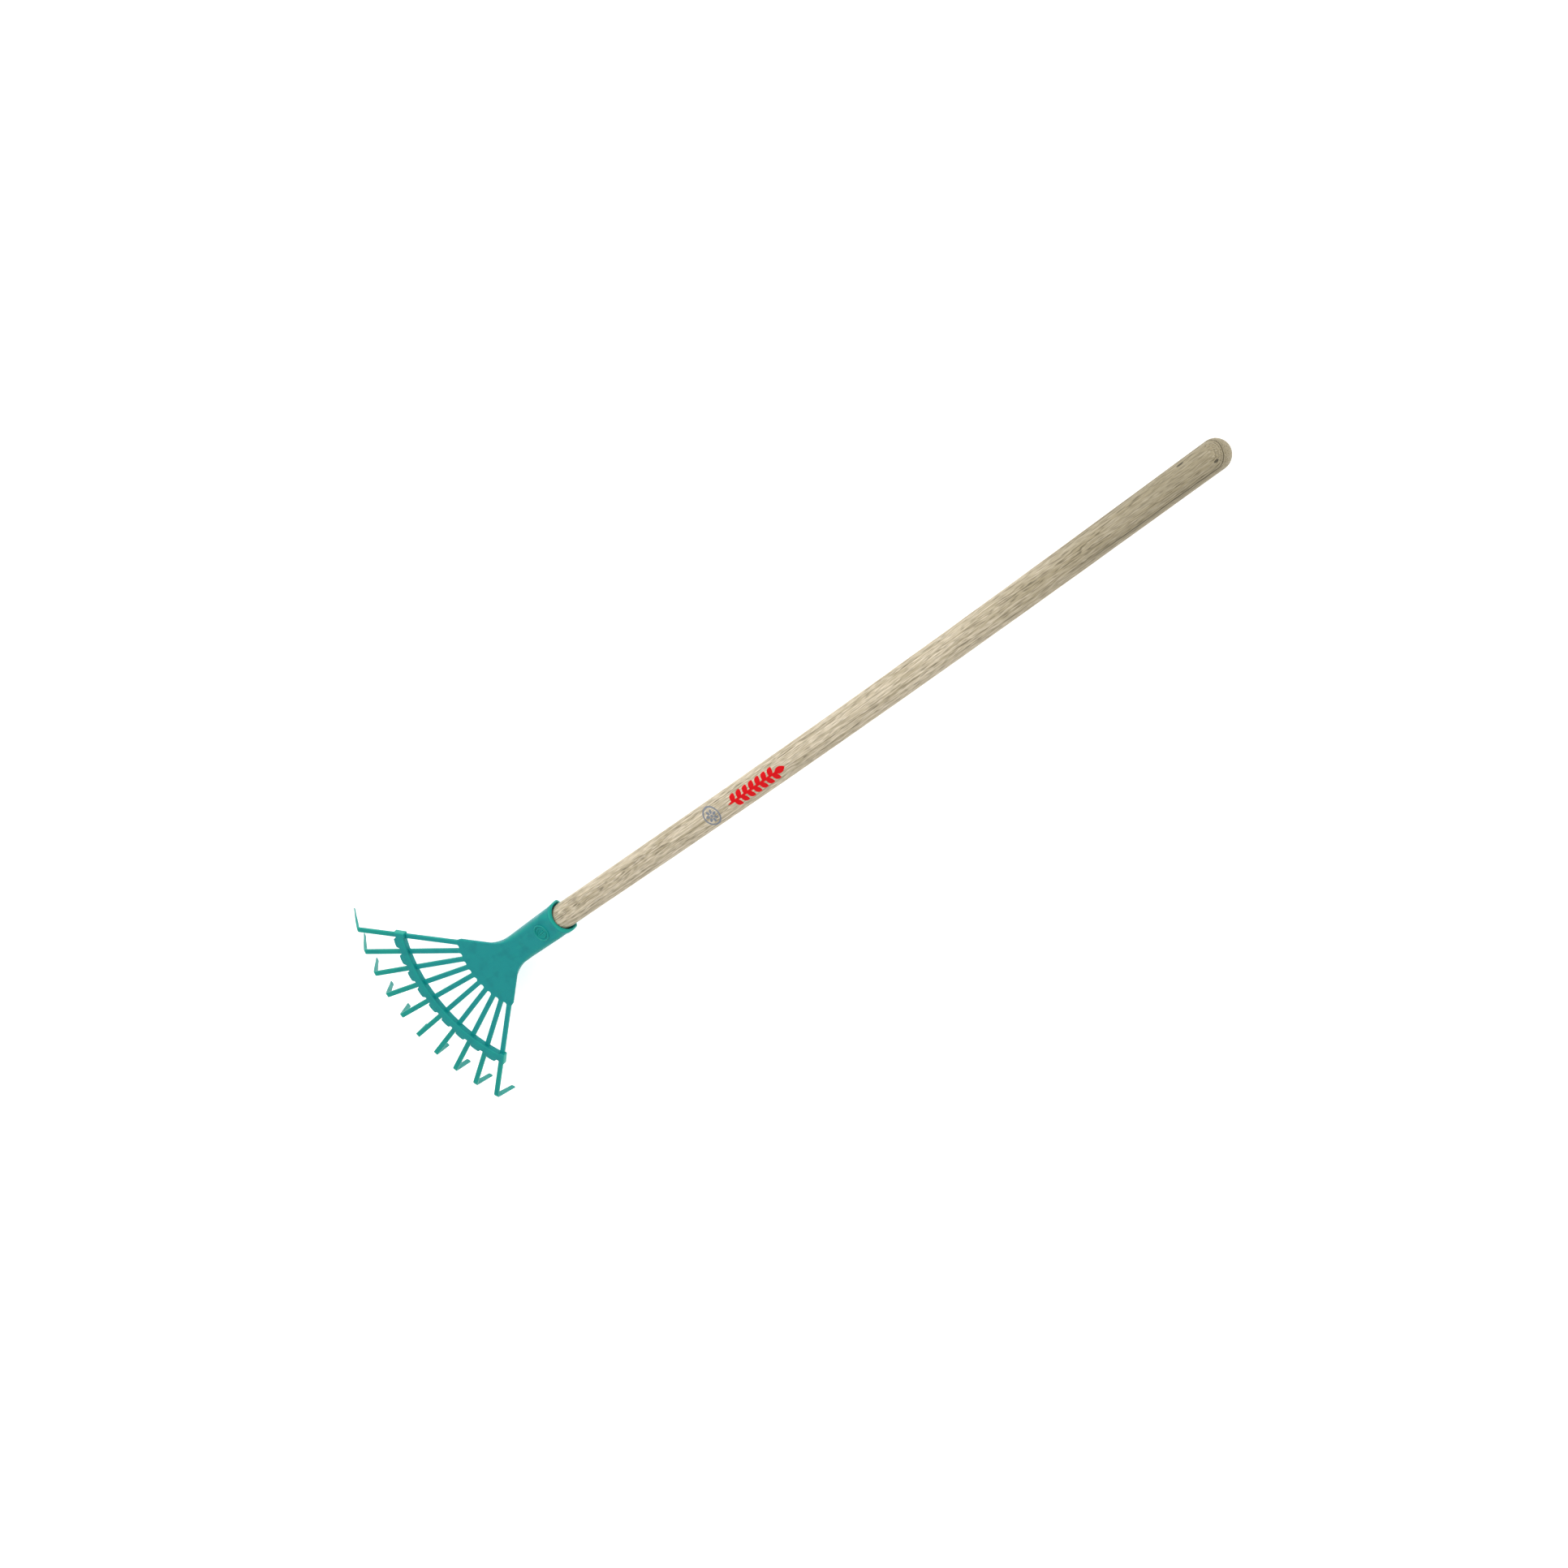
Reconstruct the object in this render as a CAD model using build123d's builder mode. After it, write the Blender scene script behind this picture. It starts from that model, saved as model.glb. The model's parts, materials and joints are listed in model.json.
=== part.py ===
from build123d import *
import os
from math import atan2, cos, radians, sin, tan

os.makedirs("parts", exist_ok=True)

# A child-size leaf rake lying on the ground, hooks down. Millimetres, +Z up.
# +X runs along the handle towards the grip end, and tine_01 is on the +Y side.
# The rake rests on its outer hook tips and on the grip end of the handle.

# ---- driving dimensions -------------------------------------------------------------
handle_diameter = 20.0
exposed_length = 685.0  # wood outside the socket, the domed end included
insert_length = 46.0  # wood inside the socket
insert_tip_diameter = 15.6

mouth_to_apex = 57.8  # the tines all point away from one apex, straight above the handle's axis
plate_height = 8.0  # the plate's middle above that axis, flush with the front of the socket
tine_count = 10
tine_pitch = 7.6  # degrees between neighbouring tines
tine_width = 4.0
tine_thickness = 2.0
hook_drop = 28.0  # how far every hook reaches below the tines
hook_lean_first = 41.0  # degrees forward of square, tine_01
hook_lean_last = 20.0  # degrees forward of square, tine_10
hook_bend_radius = 3.0
bend_radius_from_apex = 154.0  # where the tines turn down into their hooks

plate_thickness = 2.4
plate_radius = 57.5  # plate's outer edge, where the tines begin
plate_corner_x = 41.2  # from the apex, where each side edge of the plate ends
plate_corner_y = 32.4
shoulder_x = 11.0  # from the apex, where the neck's straight sides would meet the edges
shoulder_radius = 30.0

bar_inner_radius = 107.2
bar_outer_radius = 115.2
bar_bottom = -1.6
bar_top = 3.6
lobe_reach = 3.3
lobe_half_width = 5.1
cap_overhang = 1.8  # the bar's ends stand this far outside the outer tines

collar_size = 26.0
collar_length = 4.0
socket_mouth_size = 24.0
neck_width = 23.0
neck_height = 18.4
socket_length = 50.0
socket_corner = 5.0
nose_length = 42.0  # the back of the socket fairs up into the plate over this length
nose_end_width = 27.0

screw_setback = 22.0
screw_diameter = 3.0
screw_head_diameter = 6.0
screw_head_height = 1.6
screw_length = 12.0

flex_gap = 0.3  # clearance between a moving tine and the fixed head

# ---- the rake's own plane, tipped so that hooks and grip end touch the ground ---------
def hook_lean(index):
    """Forward lean of a tine's hook, in radians, changing evenly across the fan."""
    share = index / (tine_count - 1)
    return radians(hook_lean_first + (hook_lean_last - hook_lean_first) * share)


handle_radius = handle_diameter / 2
half_thick = tine_thickness / 2
half_fan = tine_pitch * (tine_count - 1) / 2
grip_centre = exposed_length - handle_radius

# The first tine's hook touches down where its inner corner is, below the handle's axis.
first_lean = radians(hook_lean_first)
touch_depth = hook_drop - plate_height + half_thick * sin(first_lean)
touch_radius = bend_radius_from_apex + hook_drop * tan(first_lean)
touch_reach = mouth_to_apex + touch_radius * cos(radians(half_fan))
tip_angle = atan2(touch_depth - handle_radius, touch_reach + grip_centre)

# The frame's origin is under the middle of the overall length.
middle_lean = hook_lean(tine_count // 2 - 1)
front_reach = mouth_to_apex + bend_radius_from_apex + hook_drop * tan(middle_lean) + half_thick
mouth_x = (front_reach - exposed_length) / 2
mouth_z = handle_radius + grip_centre * sin(tip_angle)
rake = Plane(
    origin=(mouth_x, 0, mouth_z),
    x_dir=(cos(tip_angle), 0, -sin(tip_angle)),
    z_dir=(sin(tip_angle), 0, cos(tip_angle)),
)
apex = rake.origin - rake.x_dir * mouth_to_apex + rake.z_dir * plate_height


def tine_angle(index):
    """Angle of a tine from the handle's axis, positive on the +Y side."""
    return radians(half_fan - index * tine_pitch)


def outward(angle):
    """Direction in the rake's plane at an angle from the line through the handle."""
    return rake.y_dir * sin(angle) - rake.x_dir * cos(angle)


def across_handle(distance):
    """Plane square to the handle, this far from the mouth towards the tines."""
    return Plane(
        origin=rake.origin - rake.x_dir * distance,
        x_dir=rake.y_dir * -1,
        z_dir=rake.x_dir * -1,
    )


def finish(builder, node):
    """Name a piece and write it."""
    builder.part.label = node
    export_step(builder.part, f"parts/{node}.step")


# ---- fixing screw: countersunk, through the back of the socket into the wood ----------
socket_back = socket_mouth_size / 2 - 0.9
screw_axis = Plane(
    origin=rake.origin - rake.x_dir * screw_setback - rake.z_dir * socket_back,
    x_dir=rake.x_dir,
    z_dir=rake.z_dir,
)
with BuildPart() as fixing_screw:
    with BuildSketch(screw_axis):
        Circle(screw_head_diameter / 2)
    with BuildSketch(screw_axis.offset(screw_head_height)):
        Circle(screw_diameter / 2)
    loft()
    with BuildSketch(screw_axis.offset(screw_head_height)):
        Circle(screw_diameter / 2)
    extrude(amount=screw_length - screw_head_height)
finish(fixing_screw, "fixing_screw")

# ---- handle: dowel with a domed grip end and a tapered end in the socket ---------------
along_handle = Plane(origin=rake.origin, x_dir=rake.x_dir, z_dir=rake.y_dir * -1)
with BuildPart() as handle:
    with BuildSketch(along_handle):
        with BuildLine():
            Polyline(
                (grip_centre, handle_radius),
                (0, handle_radius),
                (-insert_length, insert_tip_diameter / 2),
                (-insert_length, 0),
                (exposed_length, 0),
            )
            RadiusArc(
                (grip_centre, handle_radius),
                (exposed_length, 0),
                handle_radius,
            )
        make_face()
    revolve(axis=Axis(rake.origin, rake.x_dir))
    add(fixing_screw.part, mode=Mode.SUBTRACT)
finish(handle, "handle")

# ---- socket: square-shouldered tube with a collar, bored for the wood ------------------
with BuildPart() as socket:
    with BuildSketch(across_handle(0)):
        RectangleRounded(collar_size, collar_size, socket_corner + 1)
    extrude(amount=collar_length)
    with BuildSketch(across_handle(collar_length)):
        RectangleRounded(socket_mouth_size, socket_mouth_size, socket_corner)
    with BuildSketch(across_handle(socket_length)):
        RectangleRounded(neck_width, neck_height, socket_corner)
    loft()
    with BuildSketch(across_handle(0)):
        Circle(handle_radius)
    with BuildSketch(across_handle(insert_length)):
        Circle(insert_tip_diameter / 2)
    loft(mode=Mode.SUBTRACT)
    add(fixing_screw.part, mode=Mode.SUBTRACT)
finish(socket, "socket")

# ---- fan plate: nose that fairs the socket down, and the flat plate --------------------
apex_flat = Plane(origin=apex, x_dir=rake.x_dir * -1, z_dir=rake.z_dir)
socket_end = socket_length - mouth_to_apex
edge_angle = radians(half_fan) + tine_width / 2 / plate_radius
edge_x = plate_radius * cos(edge_angle)
edge_y = plate_radius * sin(edge_angle)
slot_radius = (radians(tine_pitch) * plate_radius - tine_width) / 2
with BuildPart() as fan_plate:
    with BuildSketch(apex_flat.offset(-plate_thickness / 2)):
        with BuildLine():
            upper = FilletPolyline(
                (socket_end, neck_width / 2),
                (shoulder_x, neck_width / 2),
                (plate_corner_x, plate_corner_y),
                radius=shoulder_radius,
            )
            Line((plate_corner_x, plate_corner_y), (edge_x, edge_y))
            RadiusArc((edge_x, edge_y), (edge_x, -edge_y), plate_radius)
            Line((edge_x, -edge_y), (plate_corner_x, -plate_corner_y))
            mirror(upper, about=Plane.XZ)
            Line((socket_end, -neck_width / 2), (socket_end, neck_width / 2))
        make_face()
        for gap in range(tine_count - 1):
            middle = tine_angle(gap + 0.5)
            with Locations((plate_radius * cos(middle), plate_radius * -sin(middle))):
                Circle(slot_radius, mode=Mode.SUBTRACT)
    extrude(amount=plate_thickness)
    with BuildSketch(across_handle(socket_length)):
        RectangleRounded(neck_width, neck_height, socket_corner)
    with BuildSketch(across_handle(socket_length + nose_length)):
        with Locations((0, plate_height)):
            RectangleRounded(nose_end_width, plate_thickness, plate_thickness * 0.45)
    loft()
finish(fan_plate, "fan_plate")

# ---- tine roots: flat strips from the plate to the brace -------------------------------
for index in range(tine_count):
    strip_flat = Plane(origin=apex, x_dir=outward(tine_angle(index)), z_dir=rake.z_dir)
    with BuildPart() as tine_root:
        with BuildSketch(strip_flat.offset(-tine_thickness / 2)):
            Circle(bar_inner_radius)
            Circle(plate_radius, mode=Mode.SUBTRACT)
            with Locations(((plate_radius + bar_inner_radius) / 2, 0)):
                Rectangle(bar_inner_radius, tine_width, mode=Mode.INTERSECT)
        extrude(amount=tine_thickness)
    finish(tine_root, f"tine_root_{index + 1:02d}")

# ---- cross brace: curved bar with a scalloped lobe between each pair of tines ----------
cap_angle = radians(half_fan) + (tine_width / 2 + cap_overhang) / bar_outer_radius
wedge_reach = bar_outer_radius * 1.3
lobe_radius = (lobe_half_width**2 + lobe_reach**2) / (2 * lobe_reach)
lobe_centre = bar_outer_radius + lobe_reach - lobe_radius
with BuildPart() as cross_brace:
    with BuildSketch(apex_flat.offset(bar_bottom)):
        Circle(bar_outer_radius)
        for gap in range(tine_count - 1):
            middle = tine_angle(gap + 0.5)
            with Locations((lobe_centre * cos(middle), lobe_centre * -sin(middle))):
                Circle(lobe_radius)
        Circle(bar_inner_radius, mode=Mode.SUBTRACT)
        Polygon(
            (0, 0),
            (wedge_reach * cos(cap_angle), wedge_reach * sin(cap_angle)),
            (wedge_reach * 1.5, 0),
            (wedge_reach * cos(cap_angle), -wedge_reach * sin(cap_angle)),
            align=None,
            mode=Mode.INTERSECT,
        )
    extrude(amount=bar_top - bar_bottom)
finish(cross_brace, "cross_brace")

# ---- spring tines: free outer runs, each turned down into a hook with a rounded end ----
start = bar_outer_radius + flex_gap
for index in range(tine_count):
    radial = outward(tine_angle(index))
    side = Plane(origin=apex, x_dir=radial, z_dir=radial.cross(rake.z_dir))
    lean = hook_lean(index)
    miter = half_thick * tan((radians(90) - lean) / 2)
    end_x = bend_radius_from_apex + hook_drop * tan(lean)
    shift_x = half_thick * cos(lean)
    shift_y = half_thick * sin(lean)
    with BuildPart() as spring_tine:
        with BuildSketch(side):
            with BuildLine():
                FilletPolyline(
                    (start, half_thick),
                    (bend_radius_from_apex + miter, half_thick),
                    (end_x + shift_x, -hook_drop + shift_y),
                    radius=hook_bend_radius + half_thick,
                )
                Line(
                    (end_x + shift_x, -hook_drop + shift_y),
                    (end_x - shift_x, -hook_drop - shift_y),
                )
                FilletPolyline(
                    (end_x - shift_x, -hook_drop - shift_y),
                    (bend_radius_from_apex - miter, -half_thick),
                    (start, -half_thick),
                    radius=hook_bend_radius - half_thick,
                )
                Line((start, -half_thick), (start, half_thick))
            make_face()
        extrude(amount=tine_width / 2, both=True)
        hook_way = radial * sin(lean) - rake.z_dir * cos(lean)
        tip_face = spring_tine.faces().sort_by(Axis(apex, hook_way))[-1]
        fillet(tip_face.edges().sort_by(SortBy.LENGTH)[:2], radius=tine_width / 2 - 0.1)
    finish(spring_tine, f"spring_tine_{index + 1:02d}")
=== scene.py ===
"""Looks of a child-size leaf rake: moulded fan head, sprung tines, wooden handle and fixing screw.

Lengths are in millimetres on the rake's own axes until a mesh is written. The origin is in the
middle of the socket's mouth, x runs up the handle to the grip, y points to the first tine's side
and z points out of the front. The reach of a point is its distance from the apex that all tines
point away from, measured away from the handle.
"""

import json
import logging
import math
from dataclasses import dataclass, field
from enum import Enum
from typing import Any

import bpy
import numpy as np
from mathutils import Matrix


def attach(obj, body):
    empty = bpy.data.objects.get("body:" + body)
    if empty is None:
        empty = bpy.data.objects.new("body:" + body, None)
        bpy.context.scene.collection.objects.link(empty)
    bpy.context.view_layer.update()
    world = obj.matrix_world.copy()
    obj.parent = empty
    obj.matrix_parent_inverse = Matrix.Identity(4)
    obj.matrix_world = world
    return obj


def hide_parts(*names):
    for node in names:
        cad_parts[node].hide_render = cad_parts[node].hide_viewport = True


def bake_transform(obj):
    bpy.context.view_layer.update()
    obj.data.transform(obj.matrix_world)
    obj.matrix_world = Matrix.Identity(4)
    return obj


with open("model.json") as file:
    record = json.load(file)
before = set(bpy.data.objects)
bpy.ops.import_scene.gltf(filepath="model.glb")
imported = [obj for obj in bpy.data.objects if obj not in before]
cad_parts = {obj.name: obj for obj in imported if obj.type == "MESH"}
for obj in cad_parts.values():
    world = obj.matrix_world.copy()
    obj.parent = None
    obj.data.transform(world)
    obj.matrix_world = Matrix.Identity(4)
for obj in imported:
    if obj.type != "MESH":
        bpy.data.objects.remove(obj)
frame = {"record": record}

LOG = logging.getLogger("leaf_rake")
METRE = 0.001  # metres in a millimetre
RAKE_BODY = "rake"
Array = np.ndarray
Colour = tuple[float, float, float, float]  # linear red, green, blue and alpha
Knots = tuple[tuple[float, float, float, float, float], ...]  # x, y, z, length and width of each


class Slot(Enum):
    """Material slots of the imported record."""

    PLASTIC = "head_plastic"
    WOOD = "handle_wood"
    STEEL = "screw_steel"


# ---- small shared shapes -----------------------------------------------------------------


def smooth(value: Array | float) -> Array:
    """Ease from 0 to 1: v squared times (3 minus 2 v), with v held between 0 and 1."""
    held = np.clip(value, 0.0, 1.0)
    return held * held * (3.0 - 2.0 * held)


def between(value: Array | float, low: float, high: float) -> Array:
    """Ease from 0 at low to 1 at high."""
    return smooth((np.asarray(value, float) - low) / (high - low))


def mixed(first: Array | float, second: Array | float, share: Array | float) -> Array:
    """Straight blend from first to second by a share."""
    return np.asarray(first) + (np.asarray(second) - np.asarray(first)) * share


def from_srgb(red: int, green: int, blue: int) -> Colour:
    """Turn a display colour, 0 to 255, into the linear colour that a shader takes.

    Args:
        red: Red share.
        green: Green share.
        blue: Blue share.

    Returns:
        Linear red, green, blue and an alpha of 1.
    """
    share = np.array([red, green, blue], float) / 255.0
    linear = np.where(share <= 0.04045, share / 12.92, ((share + 0.055) / 1.055) ** 2.4)
    return (float(linear[0]), float(linear[1]), float(linear[2]), 1.0)


@dataclass(frozen=True)
class RakeAxes:
    """The rake's own axes in the frame.

    Attributes:
        origin: Middle of the socket's mouth, in metres.
        along: Unit vector up the handle.
        across: Unit vector to the first tine's side.
        front: Unit vector out of the head's front.
        tip_angle: Tip of the handle below level, in radians.
    """

    origin: Array
    along: Array
    across: Array
    front: Array
    tip_angle: float

    @classmethod
    def from_mount(cls, mount: dict[str, Any], spare: float) -> "RakeAxes":
        """Find the axes from the record's mount on the handle.

        Args:
            mount: The record's row for the bare handle shaft.
            spare: How much longer the exposed wood is than the mount's shaft, in millimetres.

        Returns:
            The axes, with the mouth half an exposed length from the mount's middle.
        """
        along = np.array(mount["axis"], float)
        along = along / np.linalg.norm(along)
        across = np.array([0.0, 1.0, 0.0])
        exposed = mount["dims"]["length_mm"] + spare
        origin = np.array(mount["pos_m"], float) - along * exposed / 2 * METRE
        tip = math.atan2(-along[2], along[0])
        return cls(origin, along, across, np.cross(along, across), tip)

    def place(self, points: Array) -> Array:
        """Move points from the rake's axes, in millimetres, to the frame, in metres."""
        basis = np.stack([self.along, self.across, self.front])
        return self.origin + np.asarray(points, float) @ basis * METRE


@dataclass(frozen=True)
class FanLayout:
    """Where the head's features lie about the apex of the fan.

    Attributes:
        apex_setback: From the mouth back to the apex, along the handle.
        apex_height: The plate's middle above the handle's axis.
        tines: How many tines.
        pitch: Degrees between neighbouring tines.
        tine_width: Width of a tine.
        half_tine: Half the thickness of a tine.
        half_plate: Half the thickness of the plate.
    """

    apex_setback: float = 57.8
    apex_height: float = 8.0
    tines: int = 10
    pitch: float = 7.6
    tine_width: float = 4.0
    half_tine: float = 1.0
    half_plate: float = 1.2

    def angle(self, index: float) -> float:
        """Angle of a tine from the handle's line, in radians, positive on the first tine's side."""
        return math.radians((self.tines - 1) / 2 * self.pitch - index * self.pitch)

    def fan(self, reach: Array, side: Array, height: Array) -> Array:
        """Points from reach and side distances about the apex and a height about the plate's middle."""
        reach, side, height = np.broadcast_arrays(reach, side, height)
        points = (-self.apex_setback - reach, side, height + self.apex_height)
        return np.stack(points, axis=-1)

    def polar(self, radius: Array, angle: Array, height: Array) -> Array:
        """Points from a radius and an angle about the apex and a height about the plate's middle."""
        return self.fan(radius * np.cos(angle), radius * np.sin(angle), height)


def ring_skin(stations: int, count: int) -> Array:
    """Faces of a closed skin over rings of points, one ring at each station.

    Point k of a ring joins point k + 1, and each ring joins the next with four-sided faces. Each
    end is closed by a strip between point i and its opposite, count - 1 - i, so a ring is ordered
    as one half and then the other half backwards.

    Args:
        stations: Number of rings.
        count: Points in each ring, an even number.

    Returns:
        Four indices for each face.
    """
    station = np.arange(stations - 1)[:, None] * count
    here = np.arange(count)[None, :]
    after = (here + 1) % count
    beyond = station + count
    sides = np.stack([station + here, station + after, beyond + after, beyond + here], axis=-1)
    low = np.arange(count // 2 - 1)
    cap = np.stack([low + 1, low, count - 1 - low, count - 2 - low], axis=-1)
    last = np.stack([low, low + 1, count - 2 - low, count - 1 - low], axis=-1) + (stations - 1) * count
    return np.concatenate([sides.reshape(-1, 4), cap, last])


@dataclass
class Skin:
    """A closed surface before it becomes a mesh.

    Attributes:
        points: One row for each point, on the rake's axes, in millimetres.
        faces: Four indices for each face.
        marks: Values for each point by attribute name.
    """

    points: Array
    faces: Array
    marks: dict[str, Array] = field(default_factory=dict)

    @classmethod
    def from_rings(cls, rings: Array, **marks: Array) -> "Skin":
        """Close a stack of rings into a skin whose faces point outwards.

        The enclosed volume is the sum over triangles of a . (b x c) / 6. Where it is negative
        the faces are turned round.

        Args:
            rings: Points, shaped station by count by 3.
            **marks: Values by attribute name, shaped station by count.

        Returns:
            The skin.
        """
        points = rings.reshape(-1, 3)
        faces = ring_skin(rings.shape[0], rings.shape[1])
        a, b, c, d = (points[faces[:, k]] for k in range(4))
        volume = np.sum(a * np.cross(b, c)) + np.sum(a * np.cross(c, d))
        if volume < 0:
            faces = faces[:, ::-1]
        shape = rings.shape[:2]
        flat = {name: np.broadcast_to(values, shape).reshape(-1) for name, values in marks.items()}
        return cls(points, faces, flat)

    @classmethod
    def joined(cls, skins: list["Skin"]) -> "Skin":
        """Put several skins in one list of points and faces.

        Args:
            skins: Skins that carry the same marks.

        Returns:
            One skin of all their shells.
        """
        starts = np.cumsum([0] + [len(skin.points) for skin in skins[:-1]])
        points = np.concatenate([skin.points for skin in skins])
        faces = np.concatenate([skin.faces + start for skin, start in zip(skins, starts)])
        marks = {name: np.concatenate([skin.marks[name] for skin in skins]) for name in skins[0].marks}
        return cls(points, faces, marks)

    def build(self, name: str, axes: RakeAxes, crease: float = 38.0) -> bpy.types.Object:
        """Write the skin to a mesh object that sits at the frame's origin.

        Args:
            name: Name of the piece.
            axes: The rake's axes in the frame.
            crease: Edges sharper than this many degrees stay sharp.

        Returns:
            The linked object.
        """
        mesh = bpy.data.meshes.new(name)
        mesh.from_pydata(axes.place(self.points), [], self.faces)
        mesh.polygons.foreach_set("use_smooth", np.ones(len(self.faces), bool))
        for mark, values in self.marks.items():
            layer = mesh.attributes.new(mark, "FLOAT", "POINT")
            layer.data.foreach_set("value", values.astype(np.float32))
        mesh.update()
        mesh.set_sharp_from_angle(angle=math.radians(crease))
        piece = bpy.data.objects.new(name, mesh)
        bpy.context.scene.collection.objects.link(piece)
        return piece


def tube(
    centres: Array, normal: Array, half_width: Array, half_height: Array, sides: int = 10
) -> Array:
    """Rings of an oval tube along a path that lies in a plane.

    A ring point is centre + w cos(a) side + h sin(a) normal, with the side square to the path.

    Args:
        centres: Path points, one row for each station.
        normal: The plane's unit normal.
        half_width: Half width at each station.
        half_height: Half height at each station.
        sides: Points in a ring, an even number.

    Returns:
        Points shaped station by sides by 3.
    """
    run = np.gradient(centres, axis=0)
    side = np.cross(normal, run)
    side = side / np.linalg.norm(side, axis=1, keepdims=True)
    angle = (np.arange(sides) + 0.5) / sides * 2 * np.pi
    wide = np.multiply.outer(half_width, np.cos(angle))[..., None] * side[:, None, :]
    high = np.multiply.outer(half_height, np.sin(angle))[..., None] * normal
    return centres[:, None, :] + wide + high


# ---- shader maths ------------------------------------------------------------------------


class Value:
    """A shader socket that takes part in Python sums."""

    def __init__(self, shader: "Shader", socket: bpy.types.NodeSocket) -> None:
        """Keep the shader and the socket."""
        self.shader = shader
        self.socket = socket

    def _with(self, operation: str, first: Any, second: Any) -> "Value":
        """Make one Math node on two values."""
        made = self.shader.node("ShaderNodeMath", {"operation": operation}, {0: first, 1: second})
        return Value(self.shader, made.outputs[0])

    def __add__(self, other: Any) -> "Value":
        """Sum."""
        return self._with("ADD", self, other)

    def __radd__(self, other: Any) -> "Value":
        """Sum, the other way round."""
        return self._with("ADD", other, self)

    def __sub__(self, other: Any) -> "Value":
        """Difference."""
        return self._with("SUBTRACT", self, other)

    def __rsub__(self, other: Any) -> "Value":
        """Difference, the other way round."""
        return self._with("SUBTRACT", other, self)

    def __mul__(self, other: Any) -> "Value":
        """Product."""
        return self._with("MULTIPLY", self, other)

    def __rmul__(self, other: Any) -> "Value":
        """Product, the other way round."""
        return self._with("MULTIPLY", other, self)

    def __truediv__(self, other: Any) -> "Value":
        """Quotient."""
        return self._with("DIVIDE", self, other)

    def __pow__(self, other: Any) -> "Value":
        """Power."""
        return self._with("POWER", self, other)

    def fraction(self) -> "Value":
        """Part after the decimal point."""
        return self._with("FRACT", self, 0.0)

    def size(self) -> "Value":
        """Value without its sign."""
        return self._with("ABSOLUTE", self, 0.0)

    def below(self, high: float, low: float = 0.0) -> "Value":
        """Ease from 1 at low to 0 at high."""
        return self.ramp(low, high, 1.0, 0.0)

    def above(self, low: float, high: float) -> "Value":
        """Ease from 0 at low to 1 at high."""
        return self.ramp(low, high, 0.0, 1.0)

    def ramp(self, low: float, high: float, start: float, end: float) -> "Value":
        """Carry the range low to high smoothly to the range start to end.

        Args:
            low: Where the result is start.
            high: Where the result is end.
            start: First result.
            end: Last result.

        Returns:
            The new value, held between start and end.
        """
        sockets = {0: self, 1: low, 2: high, 3: start, 4: end}
        made = self.shader.node("ShaderNodeMapRange", {"interpolation_type": "SMOOTHSTEP"}, sockets)
        return Value(self.shader, made.outputs[0])


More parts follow.
